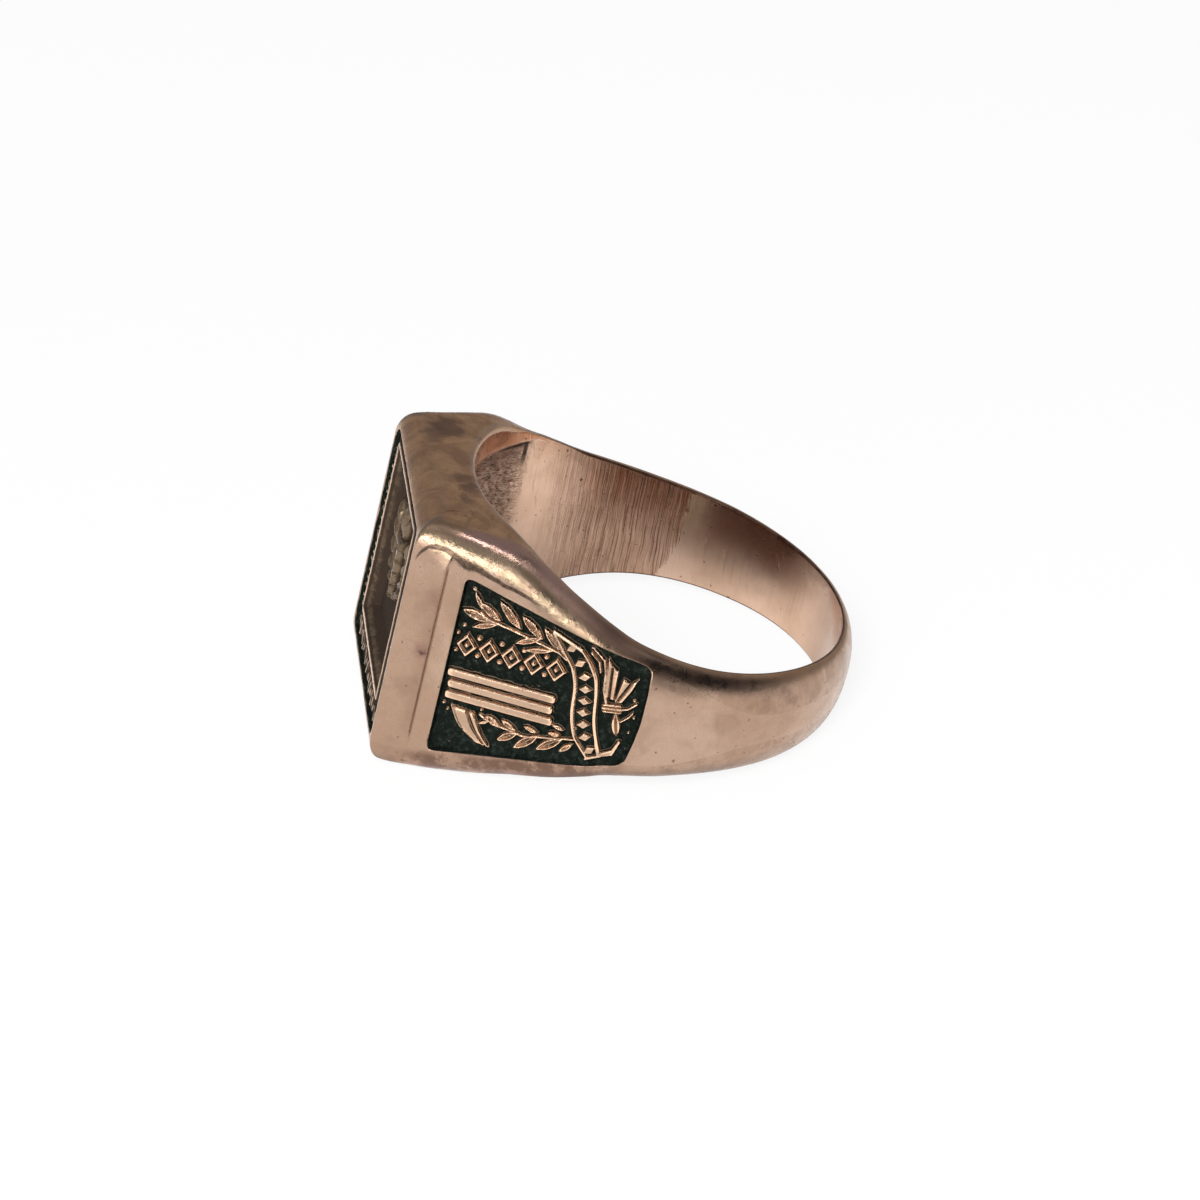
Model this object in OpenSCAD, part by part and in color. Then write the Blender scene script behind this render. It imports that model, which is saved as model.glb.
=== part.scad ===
// A man's cast signet ring in the class ring form: a round finger bore, a band that widens
// into a square head, a sunk ornament panel on each shoulder, a framed bezel face with a
// raised emblem, and a hollow behind the bezel. One solid casting.
// Drawn with the finger axis upright and the bezel towards -X, then leaned over into the
// way it lies on a table by itself: on the lower edge of the head and the back of the band.

/* [Bore and band] */
// diameter of the finger bore
bore_diameter = 19.8; // [15:0.1:23]
// wall thickness at the sides of the band
side_wall = 1.13; // [0.8:0.01:2]
// wall thickness at the back of the band
back_wall = 0.84; // [0.6:0.01:2]
// lean of the finger axis as the ring lies on its side, in degrees
lean = 12.48; // [0:0.01:25]

/* [Head] */
// distance from the bore axis to the bezel face
face_reach = 13.25; // [12:0.05:16]
// half width of the bezel face across the finger
face_half = 6.05; // [4:0.05:8]
// height of the step between the bezel block and the shoulder
block_step = 0.13; // [0:0.01:0.4]
// length of the bezel block along the shoulder
block_length = 1.86; // [1:0.02:4]
// width and depth of the fine groove at the foot of that block
groove = 0.12; // [0.05:0.01:0.3]
// thickness of metal between the shoulder and the hollow behind the bezel
hollow_wall = 1.23; // [0.8:0.01:2]
// half height of the hollow behind the bezel
hollow_half = 4.85; // [3:0.05:6]
// distance from the bore axis to the back of the bezel plate
hollow_reach = 11.4; // [10.5:0.05:12.5]

/* [Bezel face] */
// depth of the sunk border band
border_depth = 0.3; // [0.1:0.01:0.6]
// width of the outer lip
lip = 0.25; // [0.1:0.01:0.6]
// half width of the square frame bead
frame_half = 4.6; // [3:0.05:5.5]
// lower and upper edge of the frame bead
frame_low = -4.2; // [-5.5:0.05:-3]
frame_high = 5.3; // [3:0.05:5.6]
// width of the frame bead
bead = 0.42; // [0.2:0.01:0.8]
// depth of the field inside the frame
field_depth = 0.9; // [0.4:0.01:1.2]
// width of the bevel between the frame and the field
field_bevel = 0.4; // [0.1:0.01:1]

/* [Shoulder panels] */
// depth of the panel floor
panel_depth = 0.42; // [0.2:0.01:0.6]
// how far the ornament stays below the shoulder surface
ornament_sink = 0.05; // [0:0.01:0.2]

/* [Hidden] */
gold = [0.72, 0.50, 0.38];
bore_r = bore_diameter / 2;
side_r = bore_r + side_wall;
back_r = bore_r + back_wall;
block_r = side_r + block_step;
corner_angle = atan2(face_half, face_reach);
// direction of the shoulder's normal, from the bezel direction
shoulder = corner_angle + acos(block_r / norm([face_reach, face_half]));
flat_end = sqrt(pow(norm([face_reach, face_half]), 2) - block_r * block_r);
loft_r = bore_r - 0.3;

// half width of the ring along the finger: distance towards the bezel, upper half width,
// lower half width
width_rows = [
    [-11.2, 2.08, 2.08],
    [-7.0, 2.40, 2.40],
    [-2.5, 2.77, 2.77],
    [2.0, 3.66, 3.66],
    [5.5, 5.11, 5.06],
    [9.0, 6.63, 6.37],
    [11.4, 6.68, 6.79],
    [13.4, 6.70, 7.00]
];
// rounding of the edges: angle from the bezel, then for the upper and the lower edge the
// depth across the wall and the share of the half width
edge_rows = [
    [0, 1.31, 0.21, 1.02, 0.22],
    [24, 1.31, 0.21, 1.02, 0.22],
    [27, 1.18, 0.25, 1.01, 0.19],
    [40, 1.50, 0.27, 1.44, 0.29],
    [60, 1.35, 0.36, 1.35, 0.36],
    [78, 0.95, 0.45, 0.95, 0.45],
    [100, 0.85, 0.62, 0.85, 0.62],
    [135, 0.80, 0.92, 0.80, 0.92],
    [180, 0.76, 0.96, 0.76, 0.96]
];

function gap(t, i, c) = (t[i + 1][c] - t[i][c]) / (t[i + 1][0] - t[i][0]);
function slope(t, i, c) = i <= 0 ? gap(t, 0, c)
    : i >= len(t) - 1 ? gap(t, len(t) - 2, c)
    : let (p = gap(t, i - 1, c), q = gap(t, i, c)) p * q <= 0 ? 0 : 2 * p * q / (p + q);
function row_at(t, x, i = 0) = (i >= len(t) - 2 || x < t[i + 1][0]) ? i : row_at(t, x, i + 1);
// smooth curve through column c of a table
function curve(t, x, c = 1) = let (
        i = row_at(t, x), w = t[i + 1][0] - t[i][0], s = (x - t[i][0]) / w,
        m0 = slope(t, i, c) * w, m1 = slope(t, i + 1, c) * w
    ) (2 * s * s * s - 3 * s * s + 1) * t[i][c] + (s * s * s - 2 * s * s + s) * m0
        + (3 * s * s - 2 * s * s * s) * t[i + 1][c] + (s * s * s - s * s) * m1;

// a point of the shoulder, at distance s behind the front corner and d below the block
function on_shoulder(s, d) = [
    face_reach - s * sin(shoulder) - d * cos(shoulder),
    face_half + s * cos(shoulder) - d * sin(shoulder)
];
function polar(p) = [atan2(p[1], p[0]), norm(p)];
function back_form(a) = a < 90 ? side_r : side_r + (back_r - side_r) * pow(cos(a), 2);

// outer wall of one half, as angle and radius
half_wall = concat(
    [for (i = [0 : 5]) polar([face_reach, face_half * i / 6])],
    [polar([face_reach, face_half])],
    [for (i = [1 : 3]) polar(on_shoulder(block_length * i / 3, 0))],
    [for (i = [0 : 8]) polar(on_shoulder(block_length + 0.1
        + (flat_end - block_length - 0.1) * i / 8, block_step))],
    [for (i = [1 : 17]) let (a = shoulder + (180 - shoulder) * i / 17) [a, back_form(a)]]
);
count = len(half_wall);
wall = concat(half_wall, [for (i = [1 : count - 2]) let (q = half_wall[count - 1 - i]) [-q[0], q[1]]]);

// one section through the wall, inner rim to inner rim, as radius and height:
// k is 0 for its upper half and 1 for its lower half
steps = 6;
function half_section(a, r, k) = let (
        e = abs(a), d = min(curve(edge_rows, e, 1 + 2 * k), (r - bore_r) * 0.97), n = r - d
    ) concat(
        [for (i = [0 : 3]) let (q = loft_r + (n - loft_r) * i / 4)
            [q, curve(width_rows, q * cos(a), 1 + k)]],
        [for (i = [0 : steps]) let (
            q = r - d * (1 - sin(90 * i / steps)), h = curve(width_rows, q * cos(a), 1 + k))
            [q, h * (1 - curve(edge_rows, e, 2 + 2 * k) * (1 - cos(90 * i / steps)))]]
    );
function section(a, r) = let (u = half_section(a, r, 0), l = half_section(a, r, 1), m = len(l))
    concat(u, [for (i = [0 : m - 1]) [l[m - 1 - i][0], -l[m - 1 - i][1]]]);
sections = [for (w = wall) [for (q = section(w[0], w[1]))
    [-q[0] * cos(w[0]), -q[0] * sin(w[0]), q[1]]]];
around = len(sections);
along = len(sections[0]);
skin = [for (s = sections) each s];
skin_faces = [for (i = [0 : around - 1]) for (j = [0 : along - 1]) let (
        a = i * along + j, b = i * along + (j + 1) % along,
        c = ((i + 1) % around) * along + (j + 1) % along, d = ((i + 1) % around) * along + j
    ) each [[a, c, b], [a, d, c]]];

// where the leaned ring touches the table, and its middle
leaned = [for (p = skin) [p[0] * cos(lean) + p[2] * sin(lean), p[2] * cos(lean) - p[0] * sin(lean)]];
rest_z = min([for (p = leaned) p[1]]);
middle_x = (min([for (p = leaned) p[0]]) + max([for (p = leaned) p[0]])) / 2;

module blank() {
    polyhedron(points = skin, faces = skin_faces, convexity = 8);
}

// a body whose shoulders and sides lie d inside those of the ring
module core(d) {
    t = [(side_r - d) * cos(shoulder), (side_r - d) * sin(shoulder)];
    f = t + 12 * [sin(shoulder), -cos(shoulder)];
    union() {
        translate([0, 0, -8]) cylinder(r = side_r - d, h = 16, $fn = 60);
        translate([0, 0, -8]) linear_extrude(height = 16)
            polygon([[-t[0], -t[1]], [-f[0], -f[1]], [-f[0], f[1]], [-t[0], t[1]]]);
    }
}

// puts a drawing on the shoulder: X runs back from the front corner, Y up, Z outwards
module on_side() {
    translate([-face_reach, -face_half, 0]) rotate([0, 0, shoulder - 90]) rotate([90, 0, 0]) children();
}

// a rounded outline from corner points with one radius
function fillet(p, r, n = 4) = [for (i = [0 : len(p) - 1]) let (
        c = p[i], a = p[(i + len(p) - 1) % len(p)] - c, b = p[(i + 1) % len(p)] - c,
        ua = a / norm(a), ub = b / norm(b), h = acos(ua * ub) / 2,
        k = c + (ua + ub) / norm(ua + ub) * r / sin(h),
        s = c + ua * r / tan(h) - k, e = c + ub * r / tan(h) - k,
        w = 180 - 2 * h, g = sign(s[0] * e[1] - s[1] * e[0])
    ) each [for (j = [0 : n]) k + [s[0] * cos(g * w * j / n) - s[1] * sin(g * w * j / n),
        s[0] * sin(g * w * j / n) + s[1] * cos(g * w * j / n)]]];

// corners of the sunk panel on a shoulder: distance behind the front corner, height
panel_corners = [
    [2.82, 4.56],
    [12.62, 2.96],
    [12.74, 0.0],
    [12.34, -2.60],
    [2.82, -5.04]
];

module panel_cut() {
    difference() {
        on_side() translate([0, 0, -1.2]) linear_extrude(height = 2)
            polygon(fillet(panel_corners, 0.4));
        core(panel_depth);
    }
}

module leaf(x0, y0, x1, y1, w) {
    l = norm([x1 - x0, y1 - y0]);
    r = (l * l / 4 + w * w / 4) / w;
    translate([(x0 + x1) / 2, (y0 + y1) / 2]) rotate(atan2(y1 - y0, x1 - x0))
        intersection() {
            translate([0, w / 2 - r]) circle(r = r, $fn = 28);
            translate([0, r - w / 2]) circle(r = r, $fn = 28);
        }
}

// leaves of the two sprigs: foot x, foot y, tip x, tip y, width
sprig_leaves = [
    [4.15, 2.62, 2.98, 2.98, 0.46],
    [4.80, 2.86, 3.72, 3.62, 0.46],
    [5.90, 2.84, 4.80, 3.92, 0.50],
    [4.90, 2.62, 3.58, 2.20, 0.36],
    [7.10, 2.72, 5.98, 3.62, 0.48],
    [7.00, 2.62, 5.86, 2.04, 0.42],
    [8.10, 2.42, 7.12, 3.30, 0.40],
    [6.18, -2.70, 5.20, -2.20, 0.40],
    [7.10, -2.62, 6.02, -3.36, 0.46],
    [7.00, -2.44, 6.10, -2.12, 0.36],
    [8.14, -2.40, 7.02, -3.36, 0.46],
    [9.16, -2.12, 8.06, -3.04, 0.46]
];

// a band between two curved edges, each a table of height, distance
function strip(t, lo, hi, n) = concat(
    [for (i = [0 : n]) let (y = lo + (hi - lo) * i / n) [curve(t, y, 1), y]],
    [for (i = [0 : n]) let (y = hi + (lo - hi) * i / n) [curve(t, y, 2), y]]);
// edges of the hanging ribbon: height, front edge, back edge
ribbon_rows = [
    [-2.62, 10.50, 11.55],
    [-1.60, 9.62, 11.05],
    [-0.40, 9.25, 10.66],
    [0.80, 9.12, 10.48],
    [1.70, 8.82, 10.28],
    [2.40, 8.26, 9.86],
    [3.25, 7.50, 8.98]
];
// edges of the palm leaf: height, front edge, back edge
palm_rows = [
    [-3.95, 5.10, 5.95],
    [-3.20, 3.95, 5.28],
    [-2.36, 3.42, 4.74]
];

// a square stood on one corner, half sizes x and y
module lozenge(x, y) {
    polygon([[x, 0], [0, y], [-x, 0], [0, -y]]);
}

module ornament_plan() {
    // three long reeds
    translate([5.77, -1.01]) rotate(5.2) for (y = [-0.61, 0, 0.61])
        polygon(fillet([[-2.8, y - 0.26], [2.8, y - 0.26], [2.8, y + 0.26], [-2.8, y + 0.26]], 0.2));
    // a row of lozenges over them, with pellets between
    for (i = [0 : 4]) translate([3.58 + 1.14 * i, 1.03 + 0.097 * i]) {
        lozenge(0.6, 0.68);
        if (i < 4) for (y = [-0.46, 0.56]) translate([0.57, y]) circle(r = 0.19, $fn = 10);
    }
    // sprigs above and below
    for (q = sprig_leaves) leaf(q[0], q[1], q[2], q[3], q[4]);
    polygon([[4.30, 2.60], [5.80, 2.52], [8.00, 2.26], [8.00, 2.44], [5.80, 2.72], [4.30, 2.78]]);
    polygon([[5.50, -2.46], [7.30, -2.62], [9.30, -2.00], [9.30, -2.18], [7.30, -2.82], [5.50, -2.64]]);
    // palm leaf
    polygon(strip(palm_rows, -3.95, -2.36, 8));
}

module ribbon_plan() {
    polygon(strip(ribbon_rows, -2.62, 3.25, 18));
    // tied ends and the knot
    leaf(11.20, 0.40, 10.62, 3.00, 0.62);
    leaf(11.24, 0.40, 12.14, 2.34, 0.56);
    leaf(11.40, 0.30, 11.72, -1.10, 0.52);
    translate([11.25, 0.34]) circle(r = 0.42, $fn = 20);
    polygon([[10.90, -2.52], [11.90, -2.10], [12.12, -1.20], [11.90, -1.16], [11.66, -1.80], [11.20, -2.10]]);
}

module ornament() {
    intersection() {
        on_side() translate([0, 0, -1.05]) linear_extrude(height = 1.3) union() {
            ornament_plan();
            ribbon_plan();
        }
        core(ornament_sink);
    }
}

module groove_cut() {
    on_side() translate([block_length - groove / 2, -5.3, -block_step - groove])
        cube([groove, 10.5, 1]);
}

// puts a drawing on the bezel face: X runs across, Y up, Z out of the face
module on_face() {
    translate([-face_reach, 0, 0]) rotate([0, 0, -90]) rotate([90, 0, 0]) children();
}

module slab(x, y0, y1, z0, z1) {
    translate([-x, y0, z0]) cube([2 * x, y1 - y0, z1 - z0]);
}

module border_cut() {
    difference() {
        on_face() translate([0, 0, -border_depth]) linear_extrude(height = 1)
            polygon(fillet([[face_half - lip, 5.75], [face_half - lip, -5.75],
                [lip - face_half, -5.75], [lip - face_half, 5.75]], 0.7));
        on_face() slab(frame_half + bead / 2, frame_low - bead / 2, frame_high + bead / 2, -1, -0.08);
    }
}

module field_cut() {
    x = frame_half - bead / 2;
    l = frame_low + bead / 2;
    h = frame_high - bead / 2;
    b = field_bevel;
    on_face() polyhedron(points = [
            [-x + b, l + b, -field_depth], [x - b, l + b, -field_depth],
            [x - b, h - b, -field_depth], [-x + b, h - b, -field_depth],
            [-x - 0.01, l - 0.01, 0.1], [x + 0.01, l - 0.01, 0.1],
            [x + 0.01, h + 0.01, 0.1], [-x - 0.01, h + 0.01, 0.1]],
        faces = [[0, 1, 2, 3], [7, 6, 5, 4], [1, 0, 4, 5], [2, 1, 5, 6], [3, 2, 6, 7], [0, 3, 7, 4]]);
}

// short raised strokes along the border band
module border_strokes() {
    m = (frame_half + bead / 2 + face_half - lip) / 2;
    on_face() {
        for (s = [-1, 1]) for (i = [0 : 10])
            translate([s * m - 0.32, -4.0 + i * 0.85, -border_depth - 0.1]) cube([0.64, 0.36, 0.3]);
        for (i = [0 : 11])
            translate([-5.05 + i * 0.86, -5.42, -border_depth - 0.1]) cube([0.38, 0.86, 0.3]);
    }
}

// a torch between two sprigs
emblem_leaves = [
    [0, 2.3, 0, 4.6, 0.9],
    [0.2, 2.3, 0.8, 3.9, 0.6],
    [-0.2, 2.3, -0.8, 3.9, 0.6],
    [0.6, -0.5, 1.5, -0.1, 0.5],
    [1.2, -0.1, 2.3, 0.4, 0.5],
    [1.6, 0.5, 2.7, 1.4, 0.5],
    [1.8, 1.3, 2.8, 2.5, 0.5],
    [1.8, 2.1, 2.4, 3.5, 0.5]
];

module emblem() {
    on_face() intersection() {
        translate([0, 0, -field_depth - 0.1]) linear_extrude(height = field_depth - 0.15) union() {
            polygon([[-0.22, -0.9], [0.22, -0.9], [0.42, 2.0], [-0.42, 2.0]]);
            polygon([[-0.8, 2.0], [0.8, 2.0], [0.62, 2.45], [-0.62, 2.45]]);
            for (q = emblem_leaves) leaf(q[0], q[1], q[2], q[3], q[4]);
            for (i = [3 : 7]) let (q = emblem_leaves[i]) leaf(-q[0], q[1], -q[2], q[3], q[4]);
        }
        slab(3.6, -3.6, 4.8, -2, 0);
    }
}

module hollow_cut() {
    r = side_r - hollow_wall;
    x0 = 4.5;
    y0 = (r - x0 * cos(shoulder)) / sin(shoulder);
    y1 = (r - hollow_reach * cos(shoulder)) / sin(shoulder);
    translate([0, 0, -hollow_half]) linear_extrude(height = 2 * hollow_half)
        polygon([[-x0, -y0], [-hollow_reach, -y1], [-hollow_reach, y1], [-x0, y0]]);
}

module ring_upright() {
    union() {
        difference() {
            blank();
            translate([0, 0, -9]) cylinder(r = bore_r, h = 18, $fn = 90);
            hollow_cut();
            panel_cut();
            mirror([0, 1, 0]) panel_cut();
            groove_cut();
            mirror([0, 1, 0]) groove_cut();
            border_cut();
            field_cut();
        }
        ornament();
        mirror([0, 1, 0]) ornament();
        border_strokes();
        emblem();
    }
}

module ring() {
    color(gold) translate([-middle_x, 0, -rest_z]) rotate([0, lean, 0]) ring_upright();
}

ring();
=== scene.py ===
import bpy
import math
import numpy as np
from mathutils import Matrix, Vector


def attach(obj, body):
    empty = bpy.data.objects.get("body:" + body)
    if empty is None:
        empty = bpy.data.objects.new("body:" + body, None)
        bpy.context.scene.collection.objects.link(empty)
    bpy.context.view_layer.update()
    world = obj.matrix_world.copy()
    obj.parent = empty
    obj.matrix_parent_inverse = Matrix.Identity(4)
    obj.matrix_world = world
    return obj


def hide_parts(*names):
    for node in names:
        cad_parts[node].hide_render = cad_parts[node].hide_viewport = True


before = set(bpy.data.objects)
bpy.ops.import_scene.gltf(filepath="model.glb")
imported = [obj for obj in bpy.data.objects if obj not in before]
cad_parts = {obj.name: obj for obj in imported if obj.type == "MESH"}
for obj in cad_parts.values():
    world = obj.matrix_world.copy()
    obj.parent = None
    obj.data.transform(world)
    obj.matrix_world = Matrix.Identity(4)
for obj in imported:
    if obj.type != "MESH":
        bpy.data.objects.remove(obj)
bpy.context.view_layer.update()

# ---------------------------------------------------------------- sizes, mm, as in the CAD
# u runs from the finger axis to the bezel, v to the shoulder that faces the camera, w up the finger axis
BORE_R = 9.9
SIDE_R = 11.03
BACK_R = 10.74
FACE_U = 13.25
FACE_V = 6.05
STEP = 0.13
BLOCK_R = SIDE_R + STEP
BLOCK_S = 1.86
LEAN = math.radians(12.48)
REST_Z = 4.2776
MID_X = 1.7731
SH = math.atan2(FACE_V, FACE_U) + math.acos(BLOCK_R / math.hypot(FACE_U, FACE_V))
FLAT_END = math.sqrt(FACE_U ** 2 + FACE_V ** 2 - BLOCK_R ** 2)
SIN, COS = math.sin(SH), math.cos(SH)
HOLLOW_R = 9.8
HOLLOW_U = 11.4
HOLLOW_W = 4.85
FIELD = 0.9
BAND = 0.3
FLOOR = 0.42
FRONT_V, FRONT_W = 5.8, 5.75
S_LEFT, S_RIGHT = 2.82, 12.62

# distance towards the bezel, half width of the upper and of the lower side
WIDTH = np.array([[-11.2, 2.08, 2.08], [-7.0, 2.40, 2.40], [-2.5, 2.77, 2.77], [2.0, 3.66, 3.66], [5.5, 5.11, 5.06],
                  [9.0, 6.63, 6.37], [11.4, 6.68, 6.79], [13.4, 6.70, 7.00]])
# angle from the bezel, depth and share of the half width of the upper and of the lower rounded edge
EDGE = np.array([[0, 1.31, .21, 1.02, .22], [24, 1.31, .21, 1.02, .22], [27, 1.18, .25, 1.01, .19], [40, 1.50, .27, 1.44, .29],
                 [60, 1.35, .36, 1.35, .36], [78, .95, .45, .95, .45], [100, .85, .62, .85, .62], [135, .80, .92, .80, .92],
                 [180, .76, .96, .76, .96]])


def curve(t, x, c=1):
    x = np.asarray(x, float)
    n = len(t)
    g = np.diff(t[:, c]) / np.diff(t[:, 0])
    m = np.zeros(n)
    m[0], m[-1] = g[0], g[-1]
    for i in range(1, n - 1):
        m[i] = 0 if g[i - 1] * g[i] <= 0 else 2 * g[i - 1] * g[i] / (g[i - 1] + g[i])
    i = np.clip(np.searchsorted(t[:, 0], x, side="right") - 1, 0, n - 2)
    w = t[i + 1, 0] - t[i, 0]
    s = (x - t[i, 0]) / w
    return ((2 * s ** 3 - 3 * s * s + 1) * t[i, c] + (s ** 3 - 2 * s * s + s) * m[i] * w
            + (3 * s * s - 2 * s ** 3) * t[i + 1, c] + (s ** 3 - s * s) * m[i + 1] * w)


def smooth(x, lo=0.0, hi=1.0):
    t = np.clip((np.asarray(x, float) - lo) / (hi - lo), 0, 1)
    return t * t * (3 - 2 * t)


def noise(p, seed=0):
    """value noise of an (N, 3) array, -1 to 1"""
    p = np.asarray(p, float) + 1000.0
    i = np.floor(p).astype(np.int64)
    f = p - i
    f = f * f * (3 - 2 * f)

    def rnd(x, y, z):
        n = (x * 73856093) ^ (y * 19349663) ^ (z * 83492791) ^ (seed * 6542989)
        n = n & 0x7FFFFFFF
        n = ((n ^ (n >> 13)) * 1274126177) & 0x7FFFFFFF
        n = ((n ^ (n >> 15)) * 739397) & 0x7FFFFFFF
        return (n >> 8 & 0xFFFF) / 32767.5 - 1

    out = 0
    for dx in (0, 1):
        for dy in (0, 1):
            for dz in (0, 1):
                k = (f[:, 0] if dx else 1 - f[:, 0]) * (f[:, 1] if dy else 1 - f[:, 1]) * (f[:, 2] if dz else 1 - f[:, 2])
                out = out + k * rnd(i[:, 0] + dx, i[:, 1] + dy, i[:, 2] + dz)
    return out


def fbm(p, seed=0, n=3):
    out, k, tot = 0, 1.0, 0.0
    p = np.asarray(p, float)
    for o in range(n):
        out = out + k * noise(p * 2 ** o + 17.3 * o, seed + o)
        tot += k
        k *= 0.5
    return out / tot


def to_row(p):
    """(u, v, w) in mm to the row frame in metres"""
    x, y, z = -p[..., 0], -p[..., 1], p[..., 2]
    c, s = math.cos(LEAN), math.sin(LEAN)
    # the resting spots are worn level with the table
    high = np.maximum(z * c - x * s + REST_Z, 0.001)
    return np.stack([x * c + z * s + MID_X, y, high], -1) * 0.001


def make(name, verts, faces, mat, attrs):
    """one closed mesh piece; faces is a list of arrays, each of one corner count"""
    me = bpy.data.meshes.new(name)
    verts = np.asarray(verts)
    faces = [np.asarray(f) for f in faces]
    vol = 0.0
    c = verts.mean(0)
    for f in faces:
        for k in range(1, f.shape[1] - 1):
            a, b, d = verts[f[:, 0]] - c, verts[f[:, k]] - c, verts[f[:, k + 1]] - c
            vol += np.einsum("ij,ij->i", a, np.cross(b, d)).sum()
    if vol < 0:
        faces = [f[:, ::-1] for f in faces]
    loops = np.concatenate([f.ravel() for f in faces])
    count = np.concatenate([np.full(len(f), f.shape[1]) for f in faces])
    start = np.concatenate([[0], np.cumsum(count)[:-1]])
    me.vertices.add(len(verts))
    me.vertices.foreach_set("co", verts.astype(np.float32).ravel())
    me.loops.add(len(loops))
    me.loops.foreach_set("vertex_index", loops.astype(np.int32))
    me.polygons.add(len(count))
    me.polygons.foreach_set("loop_start", start.astype(np.int32))
    me.polygons.foreach_set("loop_total", count.astype(np.int32))
    me.polygons.foreach_set("use_smooth", np.ones(len(count), bool))
    me.update(calc_edges=True)
    me.validate(verbose=False)
    for key, val in attrs.items():
        val = np.asarray(val, np.float32)
        if val.ndim == 1:
            me.attributes.new(key, "FLOAT", "POINT").data.foreach_set("value", val)
        else:
            me.attributes.new(key, "FLOAT_VECTOR", "POINT").data.foreach_set("vector", val.ravel())
    me.materials.append(mat)
    ob = bpy.data.objects.new(name, me)
    bpy.context.scene.collection.objects.link(ob)
    return ob


# ---------------------------------------------------------------- plan outline of one half
def on_shoulder(s, d=0.0):
    return np.array([FACE_U - s * SIN - d * COS, FACE_V + s * COS - d * SIN])


def step_at(s):
    return STEP * float(smooth(s, 1.84, 1.95))


def station_list():
    """(kind, distance, point, tangent, normal): kind 0 is the bezel face, 1 the corner, 2 the rest"""
    out = []
    inner = [0.76, 0.68, 0.60, 0.52, 0.44, 0.36, 0.28, 0.21, 0.15, 0.10, 0.06, 0.03, 0.015, 0.0]
    vs = list(np.linspace(0, 4.7, 13)) + [FRONT_V - d for d in inner] + [FRONT_V + d for d in (0.02, 0.045, 0.08, 0.12)]
    for v in vs:
        out.append((0, v, np.array([FACE_U, v]), np.array([0.0, 1.0]), np.array([1.0, 0.0])))
    r = 0.15
    c = np.array([FACE_U - r, FACE_V - r * math.tan(SH / 2)])
    for i in range(7):
        t = SH * i / 6
        n = np.array([math.cos(t), math.sin(t)])
        out.append((1, FACE_V, c + r * n, np.array([-n[1], n[0]]), n))
    border = [0.015, 0.03, 0.06, 0.10, 0.15, 0.20, 0.26, 0.32, 0.39, 0.48]
    ss = [0.2, 0.4, 0.7, 1.0, 1.3, 1.55, 1.68, 1.75, 1.79, 1.82, 1.845, 1.87, 1.895, 1.92, 1.95, 1.99, 2.06, 2.2, 2.4, 2.56]
    ss += [S_LEFT - 0.14, S_LEFT - 0.085, S_LEFT - 0.045, S_LEFT - 0.02, S_LEFT] + [S_LEFT + d for d in border]
    ss += list(np.linspace(3.65, 11.8, 24))
    ss += [S_RIGHT - d for d in border[::-1]] + [S_RIGHT, S_RIGHT + 0.02, S_RIGHT + 0.045, S_RIGHT + 0.10, S_RIGHT + 0.2, S_RIGHT + 0.36]
    for s in ss:
        if s <= FLAT_END:
            out.append((2, s, on_shoulder(s, step_at(s)), np.array([-SIN, COS]), np.array([COS, SIN])))
        else:
            a = SH + math.asin((s - FLAT_END) / SIDE_R)
            n = np.array([math.cos(a), math.sin(a)])
            out.append((2, s, SIDE_R * n, np.array([-n[1], n[0]]), n))
    a0 = SH + math.asin((ss[-1] - FLAT_END) / SIDE_R)
    k = 52
    # the last station but one is close to the last, so that the two halves meet in a hair line
    for i in list(range(1, k)) + [k - 0.035, k]:
        a = a0 + (math.pi - a0) * i / k
        r = SIDE_R if a < math.pi / 2 else SIDE_R + (BACK_R - SIDE_R) * math.cos(a) ** 2
        n = np.array([math.cos(a), math.sin(a)])
        out.append((2, ss[-1] + (a - a0) * SIDE_R, r * n, np.array([-n[1], n[0]]), n))
    return out


def top_line(s):
    """height of the upper border line along the outer wall, by distance along a half"""
    panel = 4.56 - 0.1633 * (s - 2.82)
    return panel


def low_line(s):
    return 5.19 - 0.2730 * (s - 2.82)


def border_height(kind, s, a, r, side):
    """where the border line runs: side 1 is the upper half, -1 the lower half (as a positive height)"""
    if kind < 2:
        return FRONT_W
    p = top_line(s) if side > 0 else low_line(s)
    if s < 2.2:
        k = float(smooth(s, 0.0, 2.2))
        return FRONT_W * (1 - k) + (4.56 + 0.1 if side > 0 else 5.19 + 0.1) * k
    if s < S_LEFT:
        k = float(smooth(s, 2.2, S_LEFT))
        return (4.66 if side > 0 else 5.29) * (1 - k) + (4.56 if side > 0 else 5.19) * k
    if s <= 13.0:
        return p
    k = float(smooth(s, 13.0, 20.0))
    q = top_line(13.0) - 0.12 * (s - 13.0) if side > 0 else low_line(13.0) - 0.10 * (s - 13.0)
    return max(q, 0.75) * (1 - k) + 0.75 * k


def right_shift(w):
    return np.interp(w, [-3.2, -2.6, -1.2, 0.0, 1.4, 2.96, 3.4], [-0.34, -0.26, -0.02, 0.10, 0.09, 0.0, -0.03])


IN_LINES = np.array([0.015, 0.03, 0.06, 0.10, 0.15, 0.21, 0.28, 0.36, 0.44, 0.52, 0.60, 0.68, 0.78])
OUT_LINES = np.array([0.24, 0.16, 0.10, 0.06, 0.03, 0.012])
HOLLOW_FLAT = np.array(list(np.arange(0, 4.55, 0.22)) + [4.58, 4.68, 4.75])
WALL_X = np.linspace(0, 1, 11)


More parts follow.
